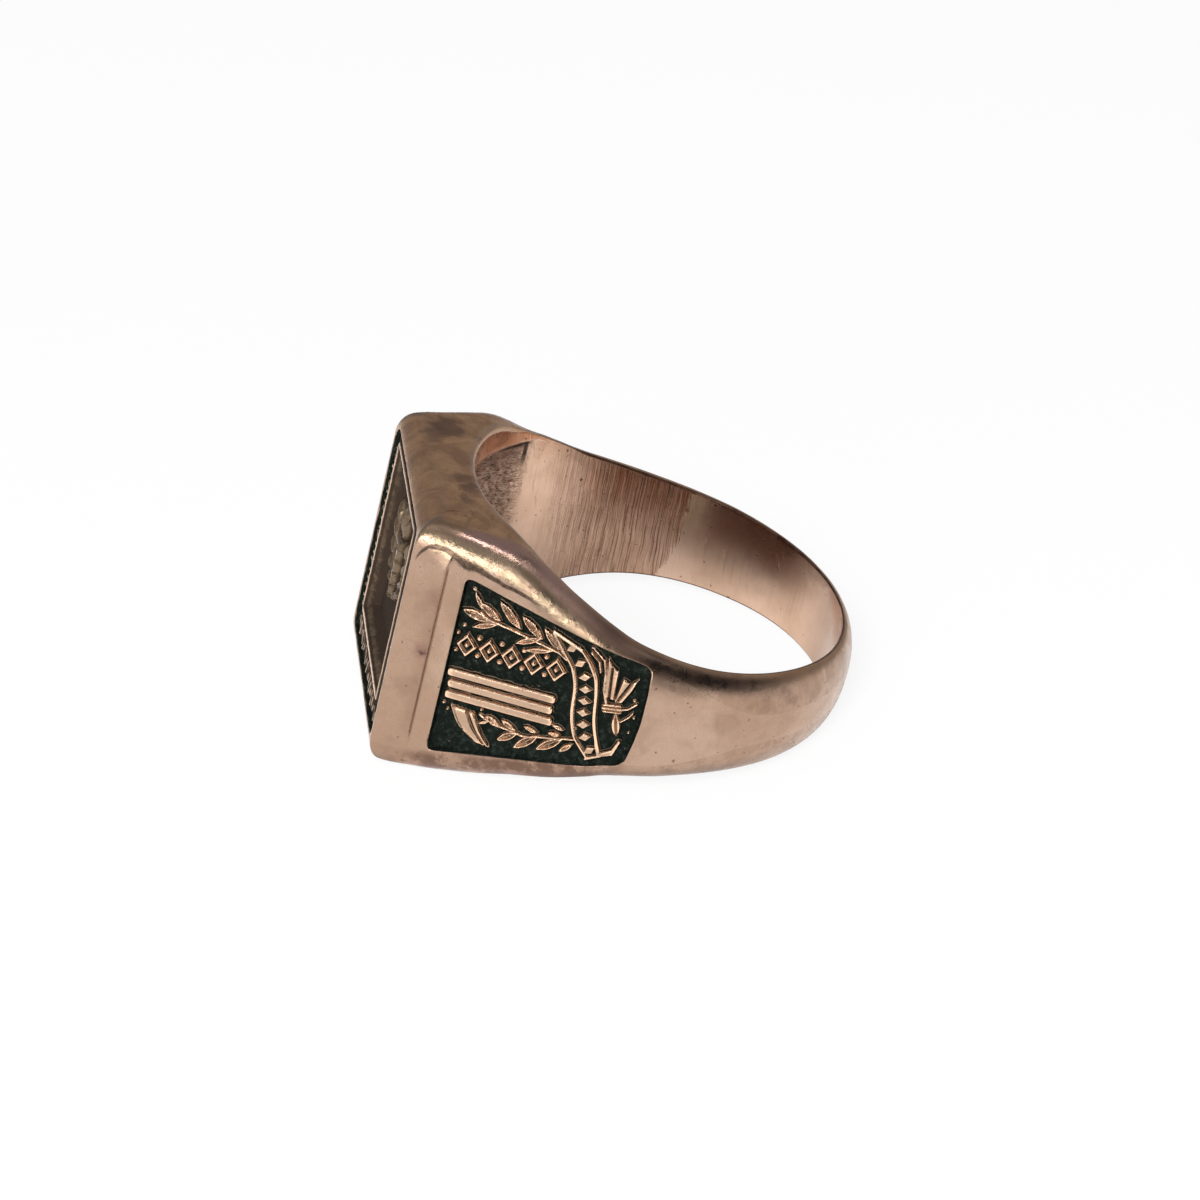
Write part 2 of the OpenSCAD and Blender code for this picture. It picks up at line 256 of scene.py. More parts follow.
def hollow_radius(a):
    """how far the hollow reaches from the axis at angle a, never less than the bore"""
    a = abs(a)
    side = HOLLOW_R / max(math.cos(SH - a), 0.2)
    front = HOLLOW_U / max(math.cos(a), 0.2)
    k = 0.35
    h = max(k - abs(side - front), 0) / k
    r = min(side, front) - h * h * k / 4 if a < 1.2 else BORE_R
    d = r - BORE_R
    k = 0.05
    h = max(k - abs(d), 0) / k
    return BORE_R + max(d, 0) + h * h * k / 4 if a < 1.2 else BORE_R


def half_section(a, r, wt, zm, low=0):
    """lines from the middle of the bore wall over the rim to height zm on the outer wall; low is 1 for the lower half.
    Gives radius, height, distance inside the border line, zone and the curve for later moves."""
    ca = math.cos(a)
    deg = math.degrees(abs(a))

    def H(q):
        return curve(WIDTH, np.asarray(q) * ca, 1 + low)

    h0 = float(H(BORE_R))
    d = min(float(curve(EDGE, deg, 1 + 2 * low)), (r - BORE_R) * 0.97)
    n = r - d
    B = float(curve(EDGE, deg, 2 + 2 * low))
    rho = min(0.12 + 0.16 * float(smooth(math.cos(a), 0.25, 0.8)), (n - BORE_R) * 0.9)
    k = min(1.0, (h0 - rho - 0.06) / 5.0)
    D = hollow_radius(a) - BORE_R
    q, z, zone = [], [], []
    for t in HOLLOW_FLAT:
        q.append(BORE_R + D); z.append(t * k); zone.append(0.0)
    for x in WALL_X:
        f = 1 - float(smooth(x))
        q.append(BORE_R + D * f); z.append((4.80 + 0.10 * x) * k); zone.append(0.3 if x > 0 else 0.0)
    zr = np.linspace(4.90 * k, h0 - rho, 5)[1:]
    for t in zr:
        q.append(BORE_R); z.append(float(t)); zone.append(0.5)
    for t in (15, 30, 45, 60, 75, 90):
        t = math.radians(t)
        qq = BORE_R + rho * (1 - math.cos(t))
        q.append(qq); z.append(float(H(qq)) - rho * (1 - math.sin(t))); zone.append(1.0)
    m = len(q)
    qs = np.linspace(BORE_R + rho, n, 60)
    th = np.linspace(0, math.pi / 2, 70)[1:]
    qr = r - d * (1 - np.sin(th))
    zr2 = H(qr) * (1 - B * (1 - np.cos(th)))
    zw = np.linspace(zr2[-1], min(zm, zr2[-1]) - 0.5, 60)[1:]
    Q = np.concatenate([qs, qr, np.full(len(zw), r)])
    Z = np.concatenate([H(qs), zr2, zw])
    L = np.concatenate([[0], np.cumsum(np.hypot(np.diff(Q), np.diff(Z)))])
    o = slice(len(qs) - 1, None)
    Qo, Zo, Lo = Q[o], Z[o], L[o]
    Lt = float(np.interp(-wt, -Zo, Lo))
    kk = min(1.0, Lt / 1.2)
    pos = np.concatenate([np.linspace(0, Lt - OUT_LINES[0] * kk, 30)[1:], Lt - OUT_LINES[1:] * kk, [Lt]])
    q += list(np.interp(pos, L, Q)); z += list(np.interp(pos, L, Z))
    zone += list(1.0 + np.interp(pos, [0, L[len(qs) - 1], L[len(qs) + len(qr) - 1], L[-1]], [0, 1, 2, 3]))
    dist = [-9.0] * m + list(pos - Lt)
    k2 = min(1.0, (wt - zm) / 1.3)
    zi = list(wt - IN_LINES * k2)
    zi += list(np.linspace(zi[-1], zm, 7)[1:])
    q += list(np.interp(-np.array(zi), -Zo, Qo)); z += zi
    zone += [4.0] * len(zi)
    dist += list(wt - np.array(zi))
    return np.array(q), np.array(z), np.array(dist), np.array(zone), m, (Qo, Zo)


# the dark line under the rounded edge, dirt with a painted dark reflection: distance along the shoulder, height, half
# width
UNDER = np.array([[0.2, 4.70, 0.16], [0.44, 5.19, 0.16], [0.68, 5.48, 0.15], [1.04, 5.58, 0.15], [1.34, 5.58, 0.14],
                  [1.77, 5.52, 0.16], [2.10, 5.40, 0.22], [2.36, 5.28, 0.28], [2.60, 5.21, 0.30], [3.05, 5.20, 0.27],
                  [3.50, 5.12, 0.19], [3.90, 5.02, 0.15], [4.30, 4.93, 0.13], [4.75, 4.82, 0.12], [5.20, 4.79, 0.12],
                  [5.60, 4.73, 0.11], [6.55, 4.50, 0.09], [7.40, 4.26, 0.08], [8.55, 3.81, 0.07]])


def body():
    half = station_list()
    full = [(s, 1) for s in half] + [(s, -1) for s in half[-2:0:-1]]
    verts, att = [], {k: [] for k in ("patina", "zone", "flow", "hollow", "groove", "along", "under", "deep")}
    for (kind, s, p, t, nrm), side in full:
        a, r = math.atan2(p[1], p[0]), math.hypot(*p)
        tops = []
        for up in (1, -1):
            wt = border_height(kind, s, a, r, up)
            wo = border_height(kind, s, a, r, -up)
            zm = (wt - wo) / 2
            q, z, dist, zone, m, (Qo, Zo) = half_section(a, r, wt, zm, 0 if up > 0 else 1)
            # pocket borders across this station
            if kind == 0:
                ds, rho, out_l, depth = FRONT_V - s, 0.7, 0.90, 1.02
            elif kind == 1:
                ds, rho, out_l, depth = -1.0, 0.7, 0.9, 0.0
            else:
                left, right = s - S_LEFT, S_RIGHT - s
                ds, rho, out_l, depth = min(left, right), 0.4, 0.75, 0.55
            xi, eta = rho - ds, rho - dist
            Lc = np.maximum(xi, eta)
            hyp = np.hypot(np.maximum(xi, 0), np.maximum(eta, 0)) + 1e-9
            on = (xi > 0) & (eta > 0) & (dist > -1.0)
            wgt = np.where(on, np.clip((out_l - Lc) / (out_l - rho - 0.02), 0, 1), 0)
            sc = 1 + (Lc / hyp - 1) * wgt
            dxi = np.where(on, xi * sc - xi, 0)
            deta = np.where(on, eta * sc - eta, 0)
            sd = np.minimum(ds, dist)
            z2 = z + deta
            moved = np.abs(deta) > 1e-6
            q = np.where(moved, np.interp(-z2, -Zo, Qo), q)
            z = z2
            u, v = q * math.cos(a), q * math.sin(a)
            if kind == 0:
                shift = dxi
            elif kind == 2:
                shift = -dxi if s < 7.5 else dxi
                wn = float(smooth(s, 10.6, 12.1) * (1 - smooth(s, 12.9, 14.4)))
                out_z = smooth(np.where(zone >= 2.0, 1.0, 0.0))
                shift = shift + right_shift(z * up) * wn * out_z
            else:
                shift = np.zeros_like(q)
            u = u + t[0] * shift
            v = v + t[1] * shift
            pos = np.stack([u, v * side, z * up], -1)
            nick = 0.022 * fbm(pos * 2.6, 5, 3)
            if kind == 2:
                low = smooth(4.6 - s, 0, 1.6) * smooth(-pos[:, 2] - 2.2, 0, 1.6)
                nick = nick * (1 + 1.5 * low) + 0.035 * low * noise(pos * 7.0, 6)
            sde = sd + np.where(sd > -0.3, nick, 0)
            dep = np.interp(sde, [-.12, -.05, -.022, 0, .018, .036, .066, .1], [0, .004, .018, .055, .15, .30, depth, depth]) if depth else np.zeros_like(sde)
            dep = np.where(dist > -1.5, dep, 0)
            groove = np.zeros_like(q)
            if kind == 2:
                gl = math.exp(-((s - 1.868) / 0.045) ** 2)
                groove = gl * (1 - smooth(np.abs(z), 4.5, 5.05)) * np.where(zone > 1.9, 1, 0)
                dep = dep + 0.10 * groove
                # the block's step runs out into the rounded edge
                dep = dep + (STEP - step_at(s)) * smooth(np.abs(z), 4.35, 5.70) * float(smooth(s, 0.3, 1.84)) * smooth(zone, 1.0, 1.6)
            pos[:, 0] -= nrm[0] * dep
            pos[:, 1] -= nrm[1] * dep * side
            pat = smooth(sd, -0.045, 0.03) if depth else np.zeros_like(sd)
            pat = np.where(dist > -1.5, pat, 0)
            hol = np.where(zone < 0.4, smooth(q - BORE_R, 0.02, 0.30), 0.0)
            D = hollow_radius(a) - BORE_R
            deep = np.where(zone < 0.4, q - BORE_R, 0.0)
            run = s - FRONT_V if kind == 0 else (0.0 if kind == 1 else s)
            along = np.full(len(q), run)
            wc, half_w = float(curve(UNDER, run, 1)), float(curve(UNDER, run, 2))
            under = np.where((zone >= 2.0) & (kind > 0), (z * up - wc) / half_w, 9.0)
            flow = np.stack([np.full(len(q), a * side * BORE_R), z * up, q], -1)
            rec = (pos, pat, zone, flow, hol, groove, along, under, deep)
            tops.append(rec)
        up_, lo_ = tops
        # one loop: middle of the bore, up over the rim, down the outer wall, over the lower rim, back
        def join(i):
            return np.concatenate([up_[i], lo_[i][::-1][1:-1]])
        verts.append(join(0))
        for key, i in (("patina", 1), ("zone", 2), ("flow", 3), ("hollow", 4), ("groove", 5), ("along", 6), ("under", 7), ("deep", 8)):
            att[key].append(join(i))
    P = np.array(verts)
    n, m = P.shape[:2]
    # surface normals from the grid
    du = np.roll(P, -1, 0) - np.roll(P, 1, 0)
    dv = np.roll(P, -1, 1) - np.roll(P, 1, 1)
    N = np.cross(dv, du)
    N /= np.linalg.norm(N, axis=-1, keepdims=True) + 1e-12
    c = np.zeros(3)
    i_out = np.argmin(np.abs(P[0, :, 2]) + (P[0, :, 0] < 12) * 99)
    if N[0, i_out, 0] < 0:
        N = -N
    flat = P.reshape(-1, 3)
    A = {k: np.array(v) for k, v in att.items()}
    zone = A["zone"].reshape(-1)
    hollow = A["hollow"].reshape(-1)
    # soft waves of a worn casting, and the rough wall of the hollow
    wave = 0.010 * noise(flat * 0.42, 3) + 0.004 * noise(flat * 1.3, 4)
    wave = wave * np.where(zone > 1.2, 1.0, 0.45) * (1 - A["patina"].reshape(-1))
    rough = hollow * (0.045 * fbm(flat * 3.1, 8, 3) + 0.02 * noise(flat * 9.0, 9))
    inside = -0.012 - 0.012  # keeps the waves inside the CAD box
    flat = flat + N.reshape(-1, 3) * (wave + rough + np.where(zone > 1.2, inside * 0.5, 0))[:, None]
    idx = np.arange(n * m).reshape(n, m)
    a_, b_ = idx, np.roll(idx, -1, 0)
    c_, d_ = np.roll(b_, -1, 1), np.roll(idx, -1, 1)
    quads = np.stack([a_, b_, c_, d_], -1).reshape(-1, 4)
    attrs = {
        "patina": A["patina"].reshape(-1),
        "bore": np.where(zone < 0.9, 1.0, 0.0),
        "rough_cast": hollow,
        "side_face": smooth(zone, 0.9, 1.1) * (1 - smooth(zone, 1.9, 2.3)),
        "edge": smooth(zone, 1.9, 2.2) * (1 - smooth(zone, 2.75, 3.0)),
        "edge_low": smooth(zone, 2.30, 2.62) * (1 - smooth(zone, 2.80, 3.0)),
        "groove": A["groove"].reshape(-1),
        "rim": np.where(np.abs(zone - 1.0) < 1e-6, 1.0, 0.0),
        "along": A["along"].reshape(-1),
        "under": A["under"].reshape(-1),
        "deep": A["deep"].reshape(-1),
        "flow": A["flow"].reshape(-1, 3),
    }
    return to_row(flat), [quads], attrs


# ---------------------------------------------------------------- distances in a drawing, mm
def poly_dist(x, y, pts):
    """signed distance to a closed outline, below 0 inside"""
    pts = np.asarray(pts, float)
    d = np.full(x.shape, 1e9)
    inside = np.zeros(x.shape, bool)
    for i in range(len(pts)):
        ax, ay = pts[i]
        bx, by = pts[(i + 1) % len(pts)]
        ex, ey = bx - ax, by - ay
        t = np.clip(((x - ax) * ex + (y - ay) * ey) / (ex * ex + ey * ey + 1e-12), 0, 1)
        d = np.minimum(d, (x - ax - t * ex) ** 2 + (y - ay - t * ey) ** 2)
        if ay != by:
            hit = ((ay > y) != (by > y)) & (x < (bx - ax) * (y - ay) / (by - ay) + ax)
            inside ^= hit
    d = np.sqrt(d)
    return np.where(inside, -d, d)


def line_dist(x, y, pts):
    """distance to an open line of points, and how far along it the nearest point is"""
    d = np.full(x.shape, 1e9)
    along = np.zeros(x.shape)
    run = 0.0
    for i in range(len(pts) - 1):
        ax, ay = pts[i]
        bx, by = pts[i + 1]
        ex, ey = bx - ax, by - ay
        l = math.hypot(ex, ey)
        t = np.clip(((x - ax) * ex + (y - ay) * ey) / (l * l), 0, 1)
        e = np.hypot(x - ax - t * ex, y - ay - t * ey)
        near = e < d
        d = np.where(near, e, d)
        along = np.where(near, run + t * l, along)
        run += l
    return d, along, run


def lens_dist(x, y, x0, y0, x1, y1, w):
    l = math.hypot(x1 - x0, y1 - y0)
    r = (l * l / 4 + w * w / 4) / w
    cx, cy, ax, ay = (x0 + x1) / 2, (y0 + y1) / 2, (x1 - x0) / l, (y1 - y0) / l
    X = (x - cx) * ax + (y - cy) * ay
    Y = -(x - cx) * ay + (y - cy) * ax
    return np.maximum(np.hypot(X, Y - (w / 2 - r)) - r, np.hypot(X, Y - (r - w / 2)) - r)


def bar_dist(x, y, cx, cy, ang, hx, hy, r):
    c, s = math.cos(ang), math.sin(ang)
    X = np.abs((x - cx) * c + (y - cy) * s) - (hx - r)
    Y = np.abs(-(x - cx) * s + (y - cy) * c) - (hy - r)
    return np.hypot(np.maximum(X, 0), np.maximum(Y, 0)) + np.minimum(np.maximum(X, Y), 0) - r


def diamond_dist(x, y, cx, cy, ang, a, b):
    c, s = math.cos(ang), math.sin(ang)
    X = np.abs((x - cx) * c + (y - cy) * s)
    Y = np.abs(-(x - cx) * s + (y - cy) * c)
    return (X * b + Y * a - a * b) / math.hypot(a, b)


def swell(d, w):
    """0 outside, rising as a quarter round to 1 at w inside the edge"""
    t = np.clip(-d / w, 0, 1)
    return np.sqrt(np.clip(1 - (1 - t) ** 2, 0, 1))


def blur(a, n, passes=2):
    for _ in range(passes):
        for ax in (0, 1):
            p = np.concatenate([np.repeat(np.take(a, [0], ax), n, ax), a, np.repeat(np.take(a, [-1], ax), n, ax)], ax)
            c = np.cumsum(p, ax)
            c = np.concatenate([np.zeros_like(np.take(c, [0], ax)), c], ax)
            k = 2 * n + 1
            size = a.shape[ax]
            a = (np.take(c, np.arange(k, k + size), ax) - np.take(c, np.arange(0, size), ax)) / k
    return a


# ---------------------------------------------------------------- ornament of a shoulder panel
SPRIG = [
    (4.45, 2.66, 2.88, 2.86, 0.54), (5.00, 2.84, 3.66, 3.54, 0.48), (6.05, 2.80, 4.62, 3.98, 0.54),
    (4.95, 2.74, 3.55, 2.04, 0.40), (7.22, 2.70, 5.86, 3.62, 0.52), (7.16, 2.80, 5.80, 2.00, 0.42),
    (8.12, 2.46, 7.05, 3.40, 0.44), (7.88, 2.36, 6.30, 1.82, 0.36), (3.98, 3.10, 3.36, 4.02, 0.32),
    (8.62, 2.20, 7.90, 2.86, 0.30), (6.20, -2.68, 5.26, -2.24, 0.40), (7.02, -2.52, 6.04, -2.20, 0.34),
    (7.12, -2.54, 6.06, -3.38, 0.48), (8.14, -2.28, 6.96, -3.48, 0.54), (9.34, -2.00, 8.04, -3.14, 0.54),
    (8.08, -2.22, 7.18, -2.10, 0.30), (9.18, -1.92, 8.42, -1.98, 0.30), (9.86, -2.10, 9.20, -2.78, 0.36),
    (9.30, -1.60, 8.52, -1.46, 0.28), (5.60, -2.50, 4.98, -2.86, 0.26),
]
RIBBON = np.array([[-2.62, 10.50, 11.55], [-1.60, 9.62, 11.05], [-0.40, 9.25, 10.66], [0.80, 9.12, 10.48],
                   [1.70, 8.82, 10.28], [2.40, 8.26, 9.86], [3.25, 7.50, 8.98]])
PALM = np.array([[-3.95, 5.10, 5.95], [-3.20, 3.95, 5.28], [-2.36, 3.42, 4.74]])


def panel_height(x, y):
    """height over the shoulder surface, below 0, at distance x and height y"""
    p3 = np.stack([x.ravel(), y.ravel(), np.zeros(x.size)], -1)
    grain = fbm(p3 * 2.2, 31, 4).reshape(x.shape)
    fine = noise(p3 * 9.0, 41).reshape(x.shape)
    coarse = noise(p3 * 4.2, 43).reshape(x.shape)
    base = -FLOOR + 0.020 * grain + 0.012 * fine + 0.012 * coarse
    # the floor climbs to the lower border in a rough slope
    base = base + (0.13 + 0.04 * fine) * (1 - smooth(y + low_line(x), 0.05, 0.62))
    h = base.copy()

    def put(v):
        nonlocal h
        h = np.maximum(h, v)

    def plateau(d, top, w=0.075):
        put(np.where(d < 0, base + (top - base) * swell(d, w), -9))

    def bump_at(bx, by, br, rise=0.30):
        dd = np.hypot(x - bx, y - by)
        put(np.where(dd < br, base + rise * np.sqrt(np.clip(1 - (dd / br) ** 2, 0, 1)), -9))

    # three long reeds
    ang = math.atan2(0.50, 5.5)
    ca, sa = math.cos(ang), math.sin(ang)
    for k, w in enumerate((-0.61, 0.0, 0.61)):
        cx, cy = 5.77 - sa * w, -1.01 + ca * w
        plateau(bar_dist(x, y, cx, cy, ang, 2.82 - (0.07 if k == 1 else 0), 0.272, 0.2), -0.026 - 0.006 * grain, 0.135)
    # a row of lozenges with pellets between
    for k in range(5):
        cx = 3.58 + 1.14 * k
        cy = 1.03 + 0.097 * k
        d = diamond_dist(x, y, cx, cy, ang, 0.58, 0.71)
        v = base + (-0.030 - base) * swell(d, 0.105) - 0.26 * smooth(-d, 0.165, 0.210)
        put(np.where(d < 0, v, -9))
        d = diamond_dist(x, y, cx, cy, ang, 0.17, 0.22)
        put(np.where(d < 0, -0.30 + 0.25 * swell(d, 0.10), -9))
        if k < 4:
            for e in (-0.47, 0.50):
                bump_at(cx + 0.57 - sa * e, cy + 0.05 + ca * e, 0.175, 0.34)
    for e in (-0.44, 0.50):
        bump_at(3.04 - sa * e, 0.98 + ca * e, 0.14, 0.30)
    # sprigs: each leaf is a raised loop with a fine rib
    for q in SPRIG:
        d = lens_dist(x, y, *q)
        X, Y = q[2] - q[0], q[3] - q[1]
        off = np.abs(-(x - q[0]) * Y + (y - q[1]) * X) / math.hypot(X, Y)
        v = base + 0.37 * swell(d, 0.095) - 0.20 * smooth(-d, 0.105, 0.150)
        v = v + 0.12 * np.exp(-(off / 0.040) ** 2) * smooth(-d, 0.13, 0.17) + 0.010 * fine
        put(np.where(d < 0, v, -9))
    for pts in (((3.9, 3.0), (4.4, 2.74), (5.8, 2.62), (8.05, 2.34), (8.75, 2.02)),
                ((5.0, -2.36), (5.7, -2.58), (7.3, -2.66), (8.6, -2.26), (9.85, -1.86))):
        d, _, _ = line_dist(x, y, pts)
        put(np.where(d < 0.095, base + 0.34 * np.sqrt(np.clip(1 - (d / 0.095) ** 2, 0, 1)), -9))
    # small buds on the sprigs
    for bx, by, br in ((3.30, 4.02, .14), (4.46, 3.16, .10), (5.48, 3.10, .12), (6.66, 2.98, .11), (7.62, 2.84, .10),
                       (8.45, 2.72, .12), (5.02, -2.10, .11), (6.58, -3.02, .10), (7.60, -2.98, .10), (8.70, -2.72, .10),
                       (3.22, 1.98, .13), (3.10, -2.42, .12), (3.36, -2.70, .10), (12.20, 1.06, .12), (12.38, 0.14, .11),
                       (12.30, -0.72, .10), (11.90, -1.30, .12), (9.60, 3.22, .12), (9.75, -1.30, .12), (9.0, 3.05, .10),
                       (5.05, 3.42, .09), (6.35, 3.42, .09), (4.2, -2.0, .09), (9.55, -2.45, .09)):
        bump_at(bx, by, br, 0.29)
    # palm leaf: a curved blade with ribs
    ok = (y > -3.95) & (y < -2.30)
    lo, hi = curve(PALM, np.clip(y, -3.95, -2.36), 1), curve(PALM, np.clip(y, -3.95, -2.36), 2)
    d = np.maximum(np.maximum(lo - x, x - hi) * 0.78, np.maximum(-3.95 - y, y + 2.34))
    f = (x - lo) / np.maximum(hi - lo, 1e-3)
    v = base + (-0.060 - base) * swell(d, 0.120)
    v = v - 0.22 * np.exp(-((f - 0.70) / 0.045) ** 2) - 0.14 * np.exp(-((f - 0.13) / 0.035) ** 2)
    put(np.where((d < 0) & ok, v, -9))
    # hanging ribbon with raised borders and a row of small lozenges
    yr = np.clip(y, -2.62, 3.25)
    lo, hi = curve(RIBBON, yr, 1), curve(RIBBON, yr, 2)
    slope = np.clip((curve(RIBBON, np.clip(y + .05, -2.62, 3.25), 1) - curve(RIBBON, np.clip(y - .05, -2.62, 3.25), 1)) / 0.1, -2, 2)
    kx = 1 / np.sqrt(1 + slope ** 2)
    end_lo = -2.62 - y + 0.55 * (x - 10.9)
    end_hi = y - 3.28 + 0.30 * (x - 8.4)
    d = np.maximum(np.maximum(lo - x, x - hi) * kx, np.maximum(end_lo, end_hi) * 0.9)
    v = base + (-0.034 - base) * swell(d, 0.115) - 0.27 * smooth(-d, 0.195, 0.240)
    put(np.where(d < 0, v, -9))
    for k in range(9):
        w = -2.16 + 5.0 * k / 8
        m = float(curve(RIBBON, w, 1) + curve(RIBBON, w, 2)) / 2
        g = float(curve(RIBBON, min(w + .1, 3.25), 1) - curve(RIBBON, max(w - .1, -2.62), 1)) / 0.2
        d = diamond_dist(x, y, m, w, math.atan2(1, g) - math.pi / 2, 0.41, 0.255)
        put(np.where(d < 0, -0.31 + 0.26 * swell(d, 0.09), -9))
    # bow: loop, tied ends with folds, knot, low leaf and the turned end of the ribbon
    for pts, r in ((((9.70, 3.22), (10.32, 2.80), (10.54, 2.10), (10.64, 1.20), (10.90, 0.60)), 0.115),
                   (((9.62, 2.96), (10.10, 2.62), (10.28, 2.10)), 0.08), (((11.50, 0.40), (11.98, 0.54), (12.34, 0.92)), 0.09),
                   (((11.80, -0.20), (12.10, 0.10), (12.26, 0.40)), 0.07)):
        d, _, _ = line_dist(x, y, pts)
        put(np.where(d < r, base + 0.33 * np.sqrt(np.clip(1 - (d / r) ** 2, 0, 1)), -9))
    for pts, folds, top in ((((10.72, 0.86), (10.46, 3.06), (10.80, 2.74), (11.16, 2.50), (11.26, 0.80)), ((10.98, 0.9), (10.80, 2.5)), -0.055),
                            (((11.22, 0.72), (11.40, 2.18), (11.84, 2.02), (12.22, 2.38), (12.02, 1.60), (11.66, 0.78)), ((11.42, 0.9), (11.84, 2.0)), -0.065)):
        d = poly_dist(x, y, pts)
        e, _, _ = line_dist(x, y, folds)
        put(np.where(d < 0, base + (top - base) * swell(d, 0.110) - 0.20 * np.exp(-(e / 0.050) ** 2), -9))
    d = lens_dist(x, y, 11.46, 0.16, 11.78, -1.12, 0.50)
    e, _, _ = line_dist(x, y, ((11.50, 0.0), (11.76, -1.0)))
    put(np.where(d < 0, base + (-0.07 - base) * swell(d, 0.11) - 0.18 * np.exp(-(e / 0.05) ** 2), -9))
    d = bar_dist(x, y, 11.24, 0.38, 0.16, 0.56, 0.29, 0.22)
    e = np.abs((y - 0.38) - 0.16 * (x - 11.24))
    v = base + (-0.040 - base) * swell(d, 0.13) - 0.15 * np.exp(-((e - 0.10) / 0.035) ** 2)
    put(np.where(d < 0, v, -9))
    d = poly_dist(x, y, ((10.86, -2.56), (11.86, -2.14), (12.12, -1.22), (11.88, -1.16), (11.64, -1.78), (11.16, -2.08)))
    put(np.where(d < 0, base + (-0.04 - base) * swell(d, 0.12), -9))
    return h + 0.004 * fine


def shoulder_point(s, w, h):
    """a point h over the shoulder surface (mm), arrays"""
    flat = s <= FLAT_END
    ang = SH + np.arcsin(np.clip((s - FLAT_END) / SIDE_R, 0, 1))
    r = SIDE_R + h
    u = np.where(flat, FACE_U - s * SIN - (STEP - h) * COS, r * np.cos(ang))
    v = np.where(flat, FACE_V + s * COS - (STEP - h) * SIN, r * np.sin(ang))
    return np.stack([u, v, w], -1)


def slab_mesh(top, low):
    """closed mesh from a grid of top points and matching border points below"""
    n, m = top.shape[:2]
    idx = np.arange(n * m).reshape(n, m)
    quads = np.stack([idx[:-1, :-1], idx[1:, :-1], idx[1:, 1:], idx[:-1, 1:]], -1).reshape(-1, 4)
    rim = np.concatenate([idx[:-1, 0], idx[-1, :-1], idx[:0:-1, -1], idx[0, :0:-1]])
    flat = top.reshape(-1, 3)
    base = low.reshape(-1, 3)[rim]
    b = n * m + np.arange(len(rim))
    sides = np.stack([rim, b, np.roll(b, -1), np.roll(rim, -1)], -1)
    # the same turn as the top: the side's first edge runs against the top's border edge
    tri_c = n * m + len(rim)
    fan = np.stack([b, np.full(len(b), tri_c), np.roll(b, -1)], -1)
    verts = np.concatenate([flat, base, base.mean(0)[None]])
    return verts, quads, sides, fan, rim


def relief_attrs(h, x, y, depth, cav_n, rim_count):
    """patina from depth and from how sunk a point is beside its surroundings"""
    p3 = np.stack([x.ravel(), y.ravel(), np.zeros(x.size)], -1)
    g = fbm(p3 * 3.2, 51, 3).reshape(h.shape)
    sunk = blur(h, cav_n, 2) - h
    pat = smooth(-h + 0.03 * g, depth * 0.36, depth * 0.78)
    pat = np.maximum(pat, smooth(sunk + 0.02 * g, 0.02, 0.11) * 0.95)
    high = smooth(-sunk + 0.01 * g, 0.05, 0.16) * smooth(h, -depth * 0.75, -depth * 0.35)
    return pat, high


def panel(name, side, mat):
    nx, ny = 326, 298
    s = np.linspace(S_LEFT - 0.12, S_RIGHT + 0.26, nx)
    f = np.linspace(0, 1, ny)
    S, Fy = np.meshgrid(s, f, indexing="ij")
    S = S + 0 * Fy
    hi = top_line(S) + 0.12
    lo = -low_line(S) - 0.12
    W = lo + (hi - lo) * Fy
    h = panel_height(S, W)
    P = shoulder_point(S, W, h)
    low = np.stack([FACE_U - S * SIN - (STEP + 1.09) * COS, FACE_V + S * COS - (STEP + 1.09) * SIN, W], -1)
    P[..., 1] *= side
    low[..., 1] *= side
    verts, quads, sides, fan, rim = slab_mesh(P, low)
    pat, high = relief_attrs(h, S, W, FLOOR, 6, len(rim))
    pat = np.maximum(pat, (1 - smooth(W + low_line(S), 0.35, 0.75)) * smooth(-h, 0.10, 0.17))
    z = np.zeros(len(rim) + 1)
    attrs = {"patina": np.concatenate([pat.ravel(), z + 1]), "high": np.concatenate([high.ravel(), z]),
             "relief": np.ones(len(verts))}
    return make_slab(name, verts, quads, sides, fan, mat, attrs)


def make_slab(name, verts, quads, sides, fan, mat, attrs):
    row = to_row(verts)
    # make turns all groups together, from the sign of the whole volume
    c = row.mean(0)
    return make(name, row, [quads, sides, fan], mat, attrs)


# ---------------------------------------------------------------- bezel face
FRAME_V, FRAME_LO, FRAME_HI, BEAD = 4.6, -4.2, 5.3, 0.36
EMBLEM = [(0, 2.3, 0, 4.6, 0.9), (0.2, 2.3, 0.8, 3.9, 0.6), (-0.2, 2.3, -0.8, 3.9, 0.6), (0.6, -0.5, 1.5, -0.1, 0.5),
          (1.2, -0.1, 2.3, 0.4, 0.5), (1.6, 0.5, 2.7, 1.4, 0.5), (1.8, 1.3, 2.8, 2.5, 0.5), (1.8, 2.1, 2.4, 3.5, 0.5)]


